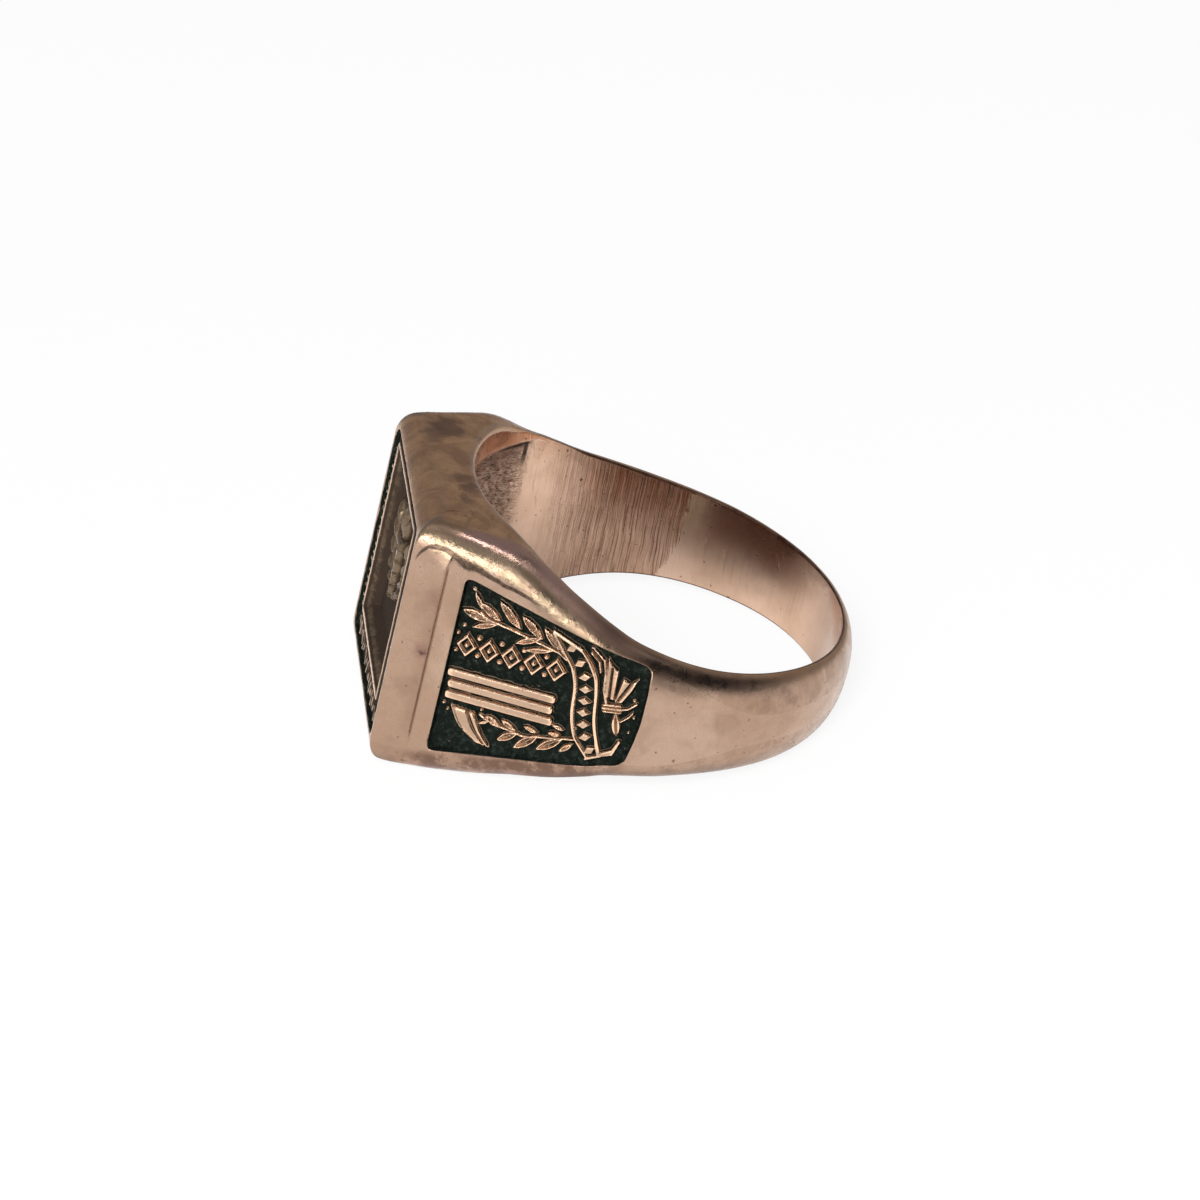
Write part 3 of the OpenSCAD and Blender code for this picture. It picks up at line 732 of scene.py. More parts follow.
def face_height(x, y):
    """height over the bezel face, below 0, at x across and y up"""
    p3 = np.stack([x.ravel(), y.ravel(), np.zeros(x.size) + 7], -1)
    grain = fbm(p3 * 2.0, 61, 4).reshape(x.shape)
    fine = noise(p3 * 8.0, 71).reshape(x.shape)
    mid = (FRAME_LO + FRAME_HI) / 2
    rect = bar_dist(x, y, 0, mid, 0, FRAME_V, (FRAME_HI - FRAME_LO) / 2, 0.12)
    h = -BAND + 0.02 * grain + 0.010 * fine
    # reeds and pellets along the border band
    out = rect > BEAD / 2 - 0.02
    strokes = np.full(x.shape, 9.0)
    for sgn in (-1, 1):
        for i in range(19):
            yy = -4.35 + i * 0.50
            hl = 0.34 if i % 3 else 0.22
            strokes = np.minimum(strokes, bar_dist(x, y, sgn * 5.28, yy, 0.35 * math.sin(i * 2.1), hl - 0.06 * math.sin(i * 3.7), 0.12, 0.11))
    for i in range(21):
        xx = -5.0 + i * 0.50
        hl = 0.46 if i % 3 else 0.26
        strokes = np.minimum(strokes, bar_dist(x, y, xx, -5.06, 0.30 * math.sin(i * 1.7), 0.13, hl, 0.12))
    h = np.where(out, np.maximum(h, -BAND + (0.14 + 0.03 * grain) * swell(strokes, 0.10) + 0.03 * grain), h)
    # bevel and field inside the frame
    di = -rect
    t = np.clip((di - BEAD / 2) / 0.42, 0, 1)
    bevel = -BAND - (FIELD - BAND) * t + 0.012 * np.cos(di * 2 * math.pi / 0.105) * (t > 0) * (t < 1)
    field = -FIELD + 0.016 * grain + 0.010 * fine + 0.014 * np.cos(x * 2 * math.pi / 0.34)
    h = np.where(di > BEAD / 2, np.where(t < 1, bevel, field), h)
    # frame bead
    dd = np.abs(rect)
    b = -0.08 - 0.23 * (1 - np.sqrt(np.clip(1 - (dd / (BEAD / 2)) ** 2, 0, 1))) + 0.012 * grain
    h = np.where(dd < BEAD / 2, np.maximum(h, b), h)
    # torch between two sprigs
    inner = di > BEAD / 2 + 0.42

    def dome(d, w, top, lift=0.0):
        nonlocal h
        v = -FIELD + lift + (top + FIELD - lift) * swell(d, w) + 0.02 * grain + 0.012 * fine
        h = np.where(inner & (d < 0), np.maximum(h, v), h)

    half = np.interp(y, [-0.9, 2.0], [0.22, 0.42])
    d = np.maximum(np.abs(x) - half, np.maximum(-0.9 - y, y - 2.02))
    dome(d, 0.26, -0.34)
    for yy in (-0.78, -0.2, 0.5, 1.2, 1.9):
        dome(np.maximum(np.abs(x) - np.interp(yy, [-0.9, 2.0], [0.30, 0.50]), np.abs(y - yy) - 0.085), 0.10, -0.28)
    dome(np.maximum(np.abs(x) - np.interp(y, [2.0, 2.45], [0.82, 0.62]), np.abs(y - 2.22) - 0.24), 0.16, -0.26)
    for i, q in enumerate(EMBLEM):
        for sg in ((1,) if i < 3 else (1, -1)):
            d = lens_dist(x, y, sg * q[0], q[1], sg * q[2], q[3], q[4])
            X, Y = sg * (q[2] - q[0]), q[3] - q[1]
            off = np.abs(-(x - sg * q[0]) * Y + (y - q[1]) * X) / math.hypot(X, Y)
            v = -FIELD + 0.56 * swell(d, q[4] * 0.42) - 0.10 * np.exp(-(off / 0.05) ** 2) + 0.02 * grain + 0.012 * fine
            h = np.where(inner & (d < 0), np.maximum(h, v), h)
    for sg in (1, -1):
        d, _, _ = line_dist(x, y, ((sg * 0.2, -0.75), (sg * 1.3, -0.15), (sg * 1.85, 0.8), (sg * 2.0, 2.0), (sg * 1.95, 2.9)))
        h = np.where(inner & (d < 0.1), np.maximum(h, -FIELD + 0.42 * np.sqrt(np.clip(1 - (d / 0.1) ** 2, 0, 1))), h)
    return h


def bezel(name, mat):
    n, m = 284, 280
    x = np.linspace(-FRONT_V - 0.06, FRONT_V + 0.06, n)
    y = np.linspace(-FRONT_W - 0.06, FRONT_W + 0.06, m)
    X, Y = np.meshgrid(x, y, indexing="ij")
    h = face_height(X, Y)
    P = np.stack([FACE_U + h, X, Y], -1)
    low = np.stack([np.full(X.shape, FACE_U - 1.28), X, Y], -1)
    verts, quads, sides, fan, rim = slab_mesh(P, low)
    pat, high = relief_attrs(h, X, Y, BAND * 1.1, 5, len(rim))
    mid = (FRAME_LO + FRAME_HI) / 2
    rect = bar_dist(X, Y, 0, mid, 0, FRAME_V, (FRAME_HI - FRAME_LO) / 2, 0.12)
    inside = rect < -BEAD / 2
    # inside the frame the patina follows the emblem, not the depth under the lip
    up = smooth(h, -FIELD + 0.05, -FIELD + 0.40)
    sunk = blur(h, 5, 2) - h
    pin = np.maximum(0.95 - 0.60 * up + 0.10 * noise(np.stack([X.ravel() * 5, Y.ravel() * 5, Y.ravel() * 0], -1), 77).reshape(X.shape), smooth(sunk, 0.015, 0.08))
    bev = smooth(-rect, BEAD / 2, BEAD / 2 + 0.42)
    pin = np.where(-rect < BEAD / 2 + 0.42, 0.50 + 0.40 * bev, pin)
    pat = np.where(inside, pin, pat)
    bead = np.abs(rect) < BEAD / 2
    pat = np.where(bead, 0.18 + 0.65 * smooth(np.abs(rect), BEAD * 0.12, BEAD * 0.44), pat)
    z = np.zeros(len(rim) + 1)
    attrs = {"patina": np.concatenate([pat.ravel(), z + 1]), "high": np.concatenate([high.ravel(), z]),
             "relief": np.ones(len(verts)), "bezel": np.ones(len(verts))}
    return make_slab(name, verts, quads, sides, fan, mat, attrs)


# ---------------------------------------------------------------- materials
class Tree:
    def __init__(self, mat):
        mat.use_nodes = True
        self.nt = mat.node_tree
        self.nt.nodes.clear()

    def node(self, kind, **kw):
        n = self.nt.nodes.new(kind)
        for k, v in kw.items():
            setattr(n, k, v)
        return n

    def link(self, a, b):
        self.nt.links.new(a, b)

    def put(self, sock, val):
        if isinstance(val, bpy.types.NodeSocket):
            self.link(val, sock)
        else:
            sock.default_value = val

    def math(self, op, a, b=0.0, c=None, clamp=False):
        n = self.node("ShaderNodeMath", operation=op, use_clamp=clamp)
        self.put(n.inputs[0], a)
        self.put(n.inputs[1], b)
        if c is not None:
            self.put(n.inputs[2], c)
        return n.outputs[0]

    def ramp(self, x, lo, hi, a=0.0, b=1.0):
        n = self.node("ShaderNodeMapRange", interpolation_type="SMOOTHSTEP")
        self.put(n.inputs["Value"], x)
        n.inputs["From Min"].default_value = lo
        n.inputs["From Max"].default_value = hi
        n.inputs["To Min"].default_value = a
        n.inputs["To Max"].default_value = b
        return n.outputs[0]

    def mix(self, f, a, b):
        n = self.node("ShaderNodeMix", data_type="RGBA")
        self.put(n.inputs["Factor"], f)
        self.put(n.inputs[6], a if isinstance(a, bpy.types.NodeSocket) else (*a, 1))
        self.put(n.inputs[7], b if isinstance(b, bpy.types.NodeSocket) else (*b, 1))
        return n.outputs[2]

    def attr(self, name, vec=False):
        n = self.node("ShaderNodeAttribute", attribute_name=name)
        return n.outputs["Vector"] if vec else n.outputs["Fac"]

    def mapped(self, vec, scale, rot=(0, 0, 0)):
        n = self.node("ShaderNodeMapping")
        self.link(vec, n.inputs["Vector"])
        n.inputs["Scale"].default_value = scale
        n.inputs["Rotation"].default_value = rot
        return n.outputs[0]

    def noise(self, vec, scale, detail=3.0, rough=0.55, distort=0.0):
        n = self.node("ShaderNodeTexNoise")
        self.link(vec, n.inputs["Vector"])
        n.inputs["Scale"].default_value = scale
        n.inputs["Detail"].default_value = detail
        n.inputs["Roughness"].default_value = rough
        n.inputs["Distortion"].default_value = distort
        return n.outputs["Fac"]

    def cells(self, vec, scale, rnd=1.0):
        n = self.node("ShaderNodeTexVoronoi")
        self.link(vec, n.inputs["Vector"])
        n.inputs["Scale"].default_value = scale
        n.inputs["Randomness"].default_value = rnd
        return n.outputs["Distance"]

    def spot(self, vec, centre, radius, soft=0.35):
        """1 within radius of a place in metres, fading out"""
        n = self.node("ShaderNodeVectorMath", operation="DISTANCE")
        self.link(vec, n.inputs[0])
        n.inputs[1].default_value = centre
        return self.ramp(n.outputs["Value"], radius * (1 - soft), radius * (1 + soft), 1.0, 0.0)


ROSE = (0.375, 0.245, 0.172)
PALE = (0.455, 0.312, 0.228)
PATINA = (0.0040, 0.0058, 0.0044)
PATINA2 = (0.015, 0.020, 0.016)


def place(u, v, w):
    return tuple(float(c) for c in to_row(np.array([u, v, w])))


def gold_material(name, kind):
    mat = bpy.data.materials.new(name)
    t = Tree(mat)
    out = t.node("ShaderNodeOutputMaterial")
    bsdf = t.node("ShaderNodeBsdfPrincipled")
    t.link(bsdf.outputs[0], out.inputs[0])
    obj = t.node("ShaderNodeTexCoord").outputs["Object"]
    big = t.noise(obj, 260.0, 4.0, 0.6)
    mid = t.noise(obj, 900.0, 4.0, 0.62, 0.6)
    fine = t.noise(obj, 5200.0, 3.0, 0.6)
    grain = t.noise(obj, 15000.0, 2.0, 0.6)
    col = t.mix(t.ramp(big, 0.36, 0.64), ROSE, PALE)
    col = t.mix(t.ramp(mid, 0.50, 0.76, 0.0, 0.38), col, (0.29, 0.180, 0.118))

    def warped(scale, amount):
        nz = t.node("ShaderNodeTexNoise")
        t.link(obj, nz.inputs["Vector"])
        nz.inputs["Scale"].default_value = scale
        nz.inputs["Detail"].default_value = 3.0
        off = t.node("ShaderNodeVectorMath", operation="SUBTRACT")
        t.link(nz.outputs["Color"], off.inputs[0])
        off.inputs[1].default_value = (0.5, 0.5, 0.5)
        sc = t.node("ShaderNodeVectorMath", operation="SCALE")
        t.link(off.outputs[0], sc.inputs[0])
        sc.inputs["Scale"].default_value = amount
        add = t.node("ShaderNodeVectorMath", operation="ADD")
        t.link(obj, add.inputs[0])
        t.link(sc.outputs[0], add.inputs[1])
        return add.outputs[0]

    # tiny dark specks and pits
    warp = warped(2600.0, 0.00030)
    cell = t.cells(warp, 1050.0)
    gate = t.ramp(t.noise(obj, 700.0, 2.0, 0.5), 0.52, 0.60)
    speck = t.math("MULTIPLY", t.ramp(cell, 0.05, 0.13, 1.0, 0.0), gate)
    cell2 = t.cells(warp, 2600.0)
    gate2 = t.ramp(t.noise(obj, 1500.0, 2.0, 0.5), 0.55, 0.62)
    speck2 = t.math("MULTIPLY", t.ramp(cell2, 0.08, 0.20, 1.0, 0.0), gate2)
    specks = t.math("MAXIMUM", speck, t.math("MULTIPLY", speck2, 0.7))
    rough = t.ramp(mid, 0.30, 0.75, 0.23, 0.36)
    bump_h = t.math("MULTIPLY", grain, 0.25)
    bump_h = t.math("ADD", bump_h, t.math("MULTIPLY", fine, 0.5))
    bump_h = t.math("SUBTRACT", bump_h, t.math("MULTIPLY", specks, 1.1))
    # hairline scratches in two directions
    for rot, sx in (((0.3, 0.9, 0.5), 0.50), ((1.1, 0.2, 2.0), 0.42)):
        sv = t.mapped(obj, (6500.0, 620.0, 620.0), rot)
        ln = t.noise(sv, 1.0, 1.0, 0.5)
        line = t.math("MULTIPLY", t.ramp(ln, 0.63, 0.72), t.ramp(t.noise(sv, 0.21, 2.0, 0.5), 0.50, 0.62))
        bump_h = t.math("SUBTRACT", bump_h, t.math("MULTIPLY", line, sx))
        rough = t.math("ADD", rough, t.math("MULTIPLY", line, 0.10))
    if kind == "body":
        bore = t.attr("bore")
        side = t.attr("side_face")
        edge = t.attr("edge")
        edge_low = t.attr("edge_low")
        cast = t.attr("rough_cast")
        groove = t.attr("groove")
        along = t.attr("along")
        under = t.attr("under")
        deep = t.attr("deep")
        rim = t.attr("rim")
        flow = t.attr("flow", True)
        sep = t.node("ShaderNodeSeparateXYZ")
        t.link(flow, sep.inputs[0])
        fx, fy = sep.outputs[0], sep.outputs[1]
        # golden brown tarnish over the faces square to the finger, with darker clouds
        gold = t.mix(t.ramp(t.noise(obj, 520.0, 5.0, 0.65, 0.8), 0.36, 0.66), (0.520, 0.292, 0.142), (0.310, 0.158, 0.075))
        col = t.mix(t.math("MULTIPLY", side, 0.92), col, gold)
        smoke = t.math("MULTIPLY", side, t.ramp(t.noise(obj, 300.0, 6.0, 0.72, 1.4), 0.54, 0.72, 0.0, 0.70))
        col = t.mix(smoke, col, (0.125, 0.058, 0.032))
        rough = t.math("ADD", rough, t.math("MULTIPLY", side, 0.08))
        # the rounded edges: brown, pinkish above, green-gold below, dull away from the corner
        head = t.math("MULTIPLY", t.ramp(along, -0.2, 0.1), t.ramp(along, 8.5, 12.5, 1.0, 0.0))
        upper = t.ramp(fy, 0.0, 0.5)
        brown = t.math("MULTIPLY", edge, t.ramp(t.noise(obj, 1150.0, 5.0, 0.7, 0.6), 0.40, 0.68, 0.20, 0.75))
        col = t.mix(brown, col, (0.265, 0.165, 0.112))
        # pink tint on the upper edge by the head: partly the edge's own colour, partly a painted colour for the
        # highlight streak that falls there
        tint = t.math("MULTIPLY", t.math("MULTIPLY", edge, t.math("SUBTRACT", 1.0, edge_low)), t.ramp(t.noise(obj, 420.0, 4.0, 0.6), 0.34, 0.56, 0.25, 0.85))
        tint = t.math("MULTIPLY", t.math("MULTIPLY", tint, head), t.ramp(along, 1.2, 2.4))
        col = t.mix(t.math("MULTIPLY", tint, 0.85), col, (0.375, 0.225, 0.208))
        # green-gold tint low on the upper edge by the head: partly the edge's own colour, partly a painted colour for
        # the lower highlight streak
        low_zone = t.math("MULTIPLY", t.math("MULTIPLY", edge_low, head), upper)
        tint2 = t.math("MULTIPLY", low_zone, t.ramp(t.noise(obj, 760.0, 4.0, 0.7, 1.0), 0.36, 0.62, 0.30, 0.90))
        col = t.mix(tint2, col, (0.305, 0.232, 0.148))
        worn = t.math("MULTIPLY", edge, t.ramp(t.noise(obj, 2900.0, 4.0, 0.75, 0.5), 0.58, 0.70, 0.0, 0.60))
        col = t.mix(t.math("MULTIPLY", worn, head), col, (0.100, 0.060, 0.040))
        bump_h = t.math("ADD", bump_h, t.math("MULTIPLY", low_zone, t.math("MULTIPLY", fine, 1.8)))
        high_edge = t.math("MULTIPLY", edge, t.math("SUBTRACT", 1.0, edge_low))
        dull = t.math("MULTIPLY", t.math("MULTIPLY", high_edge, t.ramp(along, 5.0, 7.0)), t.ramp(along, 10.5, 13.0, 1.0, 0.0))
        dull0 = t.math("MULTIPLY", t.math("MULTIPLY", high_edge, head), t.ramp(along, 0.9, 1.8, 1.0, 0.0))
        bump_h = t.math("ADD", bump_h, t.math("MULTIPLY", high_edge, t.math("MULTIPLY", fine, 0.9)))
        gloss = t.math("MULTIPLY", t.math("MULTIPLY", high_edge, t.ramp(along, 1.4, 2.2)), t.ramp(along, 4.6, 6.0, 1.0, 0.0))
        rough = t.math("ADD", rough, t.math("MULTIPLY", t.math("MAXIMUM", dull, dull0), 0.16))
        rough = t.math("SUBTRACT", rough, t.math("MULTIPLY", gloss, 0.13))
        rough = t.math("SUBTRACT", rough, t.math("MULTIPLY", t.math("MULTIPLY", low_zone, t.ramp(along, 2.6, 4.0, 1.0, 0.0)), 0.10))
        # tarnish and a painted dark reflection: the dull part of the upper edge goes very dark towards the shank
        dusky = t.mix(t.ramp(along, 6.8, 10.5), (0.215, 0.138, 0.108), (0.075, 0.044, 0.032))
        col = t.mix(t.math("MULTIPLY", dull, t.ramp(along, 6.8, 10.0, 0.65, 0.85)), col, dusky)
        # darker brown at the front corner of the upper edge: tarnish, and painted shade where the lamp's streak is kept
        # off
        col = t.mix(t.math("MULTIPLY", dull0, 0.75), col, (0.215, 0.142, 0.092))
        # tarnish and a painted dark reflection go on along the top edge of the shank
        crest = t.math("MULTIPLY", t.math("MULTIPLY", high_edge, t.ramp(along, 11.0, 12.6)), t.ramp(along, 17.0, 23.0, 1.0, 0.0))
        crest = t.math("MULTIPLY", crest, t.ramp(mid, 0.30, 0.66, 0.75, 0.45))
        col = t.mix(crest, col, (0.140, 0.100, 0.082))
        # the front edge keeps the tarnish of the top; the lower edge under the panel is mottled darker brown
        front_edge = t.math("MULTIPLY", t.math("MULTIPLY", edge, t.ramp(along, -0.3, 0.0, 1.0, 0.0)), upper)
        col = t.mix(t.math("MULTIPLY", front_edge, 0.85), col, gold)
        lower_edge_dark = t.math("MULTIPLY", t.math("MULTIPLY", edge, t.math("SUBTRACT", 1.0, upper)), t.ramp(along, 1.0, 3.0))
        lower_edge_dark = t.math("MULTIPLY", t.math("MULTIPLY", lower_edge_dark, t.ramp(along, 10.5, 13.5, 1.0, 0.0)), t.ramp(t.noise(obj, 900.0, 5.0, 0.7), 0.40, 0.56))
        col = t.mix(t.math("MULTIPLY", lower_edge_dark, 0.80), col, (0.140, 0.078, 0.055))
        # dirt in the crease under it, together with a painted dark reflection along the same line
        band = t.math("ADD", under, t.math("MULTIPLY", t.math("SUBTRACT", t.noise(obj, 1700.0, 4.0, 0.7), 0.5), 1.5))
        band = t.ramp(t.math("ABSOLUTE", band), 0.55, 1.25, 1.0, 0.0)
        band = t.math("MULTIPLY", band, t.math("MULTIPLY", t.ramp(along, 0.1, 0.35), t.ramp(along, 5.6, 7.6, 1.0, 0.0)))
        col = t.mix(t.math("MULTIPLY", band, t.ramp(fine, 0.30, 0.62, 0.95, 0.75)), col, (0.046, 0.029, 0.021))
        # the bore: fine lines along the finger up to a seam, smooth beyond it
        nz = t.node("ShaderNodeTexNoise")
        t.link(flow, nz.inputs["Vector"])
        nz.inputs["Scale"].default_value = 0.45
        nz.inputs["Detail"].default_value = 1.0
        off = t.node("ShaderNodeVectorMath", operation="SUBTRACT")
        t.link(nz.outputs["Color"], off.inputs[0])
        off.inputs[1].default_value = (0.5, 0.5, 0.5)
        sc = t.node("ShaderNodeVectorMath", operation="SCALE")
        t.link(off.outputs[0], sc.inputs[0])
        sc.inputs["Scale"].default_value = 0.30
        add = t.node("ShaderNodeVectorMath", operation="ADD")
        t.link(flow, add.inputs[0])
        t.link(sc.outputs[0], add.inputs[1])
        lean = t.mapped(add.outputs[0], (1.0, 1.0, 0.0), (0.0, 0.0, 0.055))
        ln0 = t.noise(t.mapped(lean, (2.4, 0.10, 0.0)), 1.0, 2.0, 0.6)
        ln1 = t.noise(t.mapped(lean, (12.0, 0.17, 0.0)), 1.0, 1.5, 0.5, 0.05)
        ln2 = t.noise(t.mapped(lean, (23.0, 0.30, 0.0)), 1.0, 1.5, 0.5, 0.05)
        bow = t.math("SUBTRACT", fy, 1.8)
        seam_at = t.math("SUBTRACT", fx, t.math("MULTIPLY", t.math("MULTIPLY", bow, bow), 0.040))
        seam_at = t.math("ADD", seam_at, t.math("MULTIPLY", t.math("SUBTRACT", t.noise(flow, 1.6, 3.0, 0.6), 0.5), 0.8))
        seam_at = t.math("ADD", seam_at, t.math("MULTIPLY", t.math("SUBTRACT", ln2, 0.5), 0.8))
        inside = t.ramp(seam_at, -19.06, -18.96)
        lined = t.math("MULTIPLY", inside, t.ramp(fx, -10.4, -12.8))
        lined = t.math("MULTIPLY", lined, bore)
        dense = t.math("MULTIPLY", lined, t.ramp(fx, -12.4, -15.2, 0.25, 1.0))
        # painted shade: the lined part and its streaks darken towards the top, where the shaded floor inside the ring
        # shows in reflection
        painted_shade_top = t.ramp(fy, -0.8, 2.6, 0.35, 1.0)
        hair = t.math("MULTIPLY", t.math("MULTIPLY", t.ramp(ln2, 0.49, 0.57), lined), t.ramp(fx, -12.0, -14.6, 0.45, 1.0))
        streak = t.math("MULTIPLY", t.ramp(ln1, 0.47, 0.58), dense)
        col = t.mix(t.math("MULTIPLY", bore, 0.95), col, t.mix(t.ramp(big, 0.35, 0.65), (0.640, 0.428, 0.305), (0.740, 0.510, 0.380)))
        col = t.mix(t.math("MULTIPLY", t.math("MULTIPLY", dense, painted_shade_top), t.ramp(ln0, 0.35, 0.60, 0.60, 1.0)), col, (0.370, 0.175, 0.102))
        col = t.mix(t.math("MULTIPLY", t.math("MULTIPLY", streak, painted_shade_top), 0.55), col, (0.205, 0.090, 0.052))
        col = t.mix(t.math("MULTIPLY", t.math("MULTIPLY", hair, t.ramp(ln1, 0.40, 0.58, 0.25, 1.0)), 0.78), col, (0.115, 0.050, 0.030))
        # a darker, redder part beyond the seam, a painted dark reflection of the shaded floor near the head, with a
        # pale gold patch beside it
        far = t.math("MULTIPLY", t.math("SUBTRACT", 1.0, inside), bore)
        dusk = t.math("MULTIPLY", t.math("MULTIPLY", far, t.ramp(fy, -0.8, 1.4)), t.ramp(fx, -29.0, -24.0))
        dusk = t.math("MULTIPLY", dusk, t.ramp(seam_at, -19.5, -21.0, 0.25, 0.80))
        col = t.mix(dusk, col, (0.330, 0.150, 0.098))
        patch = t.math("MULTIPLY", t.math("MULTIPLY", far, t.ramp(seam_at, -20.4, -19.3)), t.ramp(fy, 0.2, 1.2))
        col = t.mix(t.math("MULTIPLY", patch, t.ramp(ln0, 0.35, 0.60, 0.75, 0.25)), col, (0.720, 0.510, 0.300))
        # painted shade: darker colour at the back of the finger, dimming its reflection
        tail = t.math("MULTIPLY", bore, t.ramp(t.math("ABSOLUTE", fx), 27.0, 30.2))
        col = t.mix(t.math("MULTIPLY", tail, 0.70), col, (0.360, 0.235, 0.165))
        faint = t.math("MULTIPLY", t.ramp(ln2, 0.56, 0.70, 0.0, 0.22), bore)
        col = t.mix(faint, col, (0.25, 0.145, 0.092))
        bump_h = t.math("SUBTRACT", bump_h, t.math("MULTIPLY", hair, 1.6))
        bump_h = t.math("SUBTRACT", bump_h, t.math("MULTIPLY", streak, 0.9))
        rough = t.math("SUBTRACT", rough, t.math("MULTIPLY", bore, 0.10))
        rough = t.math("ADD", rough, t.math("MULTIPLY", lined, 0.08))
        # painted shade along the rim of the bore beyond the head
        rim_painted_shade = t.math("MULTIPLY", rim, t.ramp(t.math("ABSOLUTE", fx), 8.6, 11.5))
        col = t.mix(t.math("MULTIPLY", rim_painted_shade, t.ramp(mid, 0.30, 0.66, 1.0, 0.70)), col, (0.075, 0.030, 0.020))
        # rough, fibrous casting in the hollow; dirt and painted shade along its upper and back edge
        fibres = None
        for rot, k in ((0.55, 0.0), (-0.75, 3.0), (1.25, 7.0)):
            m = t.mapped(flow, (3.4, 15.0, 3.0), (0.0, 0.0, rot))
            n = t.node("ShaderNodeVectorMath", operation="ADD")
            t.link(m, n.inputs[0])
            n.inputs[1].default_value = (k, k * 1.7, 0.0)
            f = t.ramp(t.noise(n.outputs[0], 1.0, 3.0, 0.6, 1.2), 0.56, 0.66)
            fibres = f if fibres is None else t.math("MAXIMUM", fibres, f)
        rc = t.noise(flow, 3.2, 4.0, 0.65, 0.6)
        col = t.mix(t.math("MULTIPLY", cast, 0.90), col, t.mix(t.ramp(rc, 0.36, 0.62), (0.620, 0.440, 0.320), (0.360, 0.205, 0.140)))
        shade = t.math("MULTIPLY", cast, t.ramp(t.math("ADD", fy, t.math("MULTIPLY", deep, 0.9)), 3.2, 5.0, 0.0, 0.65))
        col = t.mix(shade, col, (0.205, 0.112, 0.082))
        col = t.mix(t.math("MULTIPLY", t.math("MULTIPLY", cast, fibres), 0.88), col, (0.095, 0.046, 0.032))
        bump_h = t.math("ADD", bump_h, t.math("MULTIPLY", cast, t.math("SUBTRACT", t.math("MULTIPLY", rc, 5.0), t.math("MULTIPLY", fibres, 3.4))))
        rough = t.math("ADD", rough, t.math("MULTIPLY", cast, 0.16))
        # dirt and painted shade under the overhanging top edge of the hollow, and along its back edge
        brow = t.math("ADD", fy, t.math("MULTIPLY", deep, 0.64))
        brow = t.math("ADD", brow, t.math("MULTIPLY", t.math("SUBTRACT", mid, 0.5), 0.35))
        brow = t.math("MULTIPLY", t.ramp(brow, 4.60, 4.74), t.ramp(deep, 0.03, 0.12))
        back = t.math("MULTIPLY", t.ramp(t.math("ABSOLUTE", t.math("SUBTRACT", deep, 0.12)), 0.018, 0.036, 1.0, 0.0), t.ramp(fy, 3.3, 3.9))
        back = t.math("MULTIPLY", back, t.ramp(fy, 4.80, 4.90, 1.0, 0.0))
        back = t.math("MULTIPLY", back, t.ramp(t.math("ABSOLUTE", fx), 7.0, 7.6))
        soot_and_shade = t.math("MAXIMUM", brow, back)
        col = t.mix(t.math("MULTIPLY", soot_and_shade, t.ramp(mid, 0.32, 0.62, 1.0, 0.75)), col, (0.022, 0.015, 0.012))
        # painted shade: a soft brown band on the block beside the step
        beside = t.math("MULTIPLY", t.ramp(along, 0.95, 1.80), t.ramp(along, 1.84, 1.95, 1.0, 0.0))
        beside = t.math("MULTIPLY", beside, t.math("MULTIPLY", t.ramp(fy, 3.0, 4.4, 1.0, 0.0), t.ramp(fy, -5.2, -3.4)))
        beside = t.math("MULTIPLY", beside, t.math("SUBTRACT", 1.0, t.math("MAXIMUM", side, bore)))
        col = t.mix(t.math("MULTIPLY", beside, t.ramp(mid, 0.30, 0.62, 0.62, 0.30)), col, (0.215, 0.122, 0.082))
        col = t.mix(t.math("MULTIPLY", groove, 0.60), col, (0.130, 0.068, 0.044))
        # single marks: place, radius, amount, colour
        small = warped(2600.0, 0.0006)
        wide = warped(800.0, 0.0022)
        marks = [
            (small, (11.85, 6.72, -0.05), 0.17, 0.90, (0.060, 0.028, 0.026)),
            (small, (11.90, 6.70, 0.00), 0.42, 0.40, (0.190, 0.095, 0.080)),
            (wide, (11.10, -4.40, 6.67), 1.00, 0.75, (0.105, 0.046, 0.024)),
            (wide, (11.80, -3.20, 6.66), 0.55, 0.55, (0.115, 0.052, 0.028)),
            (wide, (10.60, 0.90, 6.66), 0.55, 0.60, (0.125, 0.058, 0.034)),
            (wide, (10.50, 2.00, 6.66), 0.50, 0.65, (0.125, 0.058, 0.034)),
            (wide, (10.45, 3.10, 6.66), 0.45, 0.55, (0.125, 0.058, 0.034)),
            (wide, (-5.99, 9.03, 1.32), 0.42, 0.42, (0.170, 0.100, 0.075)),
            (wide, (-4.80, 9.70, 1.70), 0.65, 0.22, (0.220, 0.135, 0.100)),
            (wide, (-2.60, 10.70, 0.40), 0.60, 0.20, (0.230, 0.140, 0.105)),
            (wide, (12.20, 6.55, 2.60), 0.60, 0.30, (0.210, 0.130, 0.095)),
            (wide, (12.20, 6.55, -2.10), 0.70, 0.25, (0.210, 0.130, 0.095)),
        ]
        for vec, at, rad, amount, c in marks:
            m = t.spot(vec, place(*at), rad * 0.001, 0.45)
            col = t.mix(t.math("MULTIPLY", m, amount), col, c)
    pat = t.attr("patina")
    patn = t.noise(obj, 2300.0, 5.0, 0.7, 0.5)
    pf = t.math("ADD", pat, t.math("MULTIPLY", t.math("SUBTRACT", patn, 0.5), 0.55))
    pf = t.ramp(pf, 0.22, 0.66)
    pf = t.math("MULTIPLY", pf, t.ramp(pat, 0.0, 0.12))
    if kind != "body":
        high = t.attr("high")
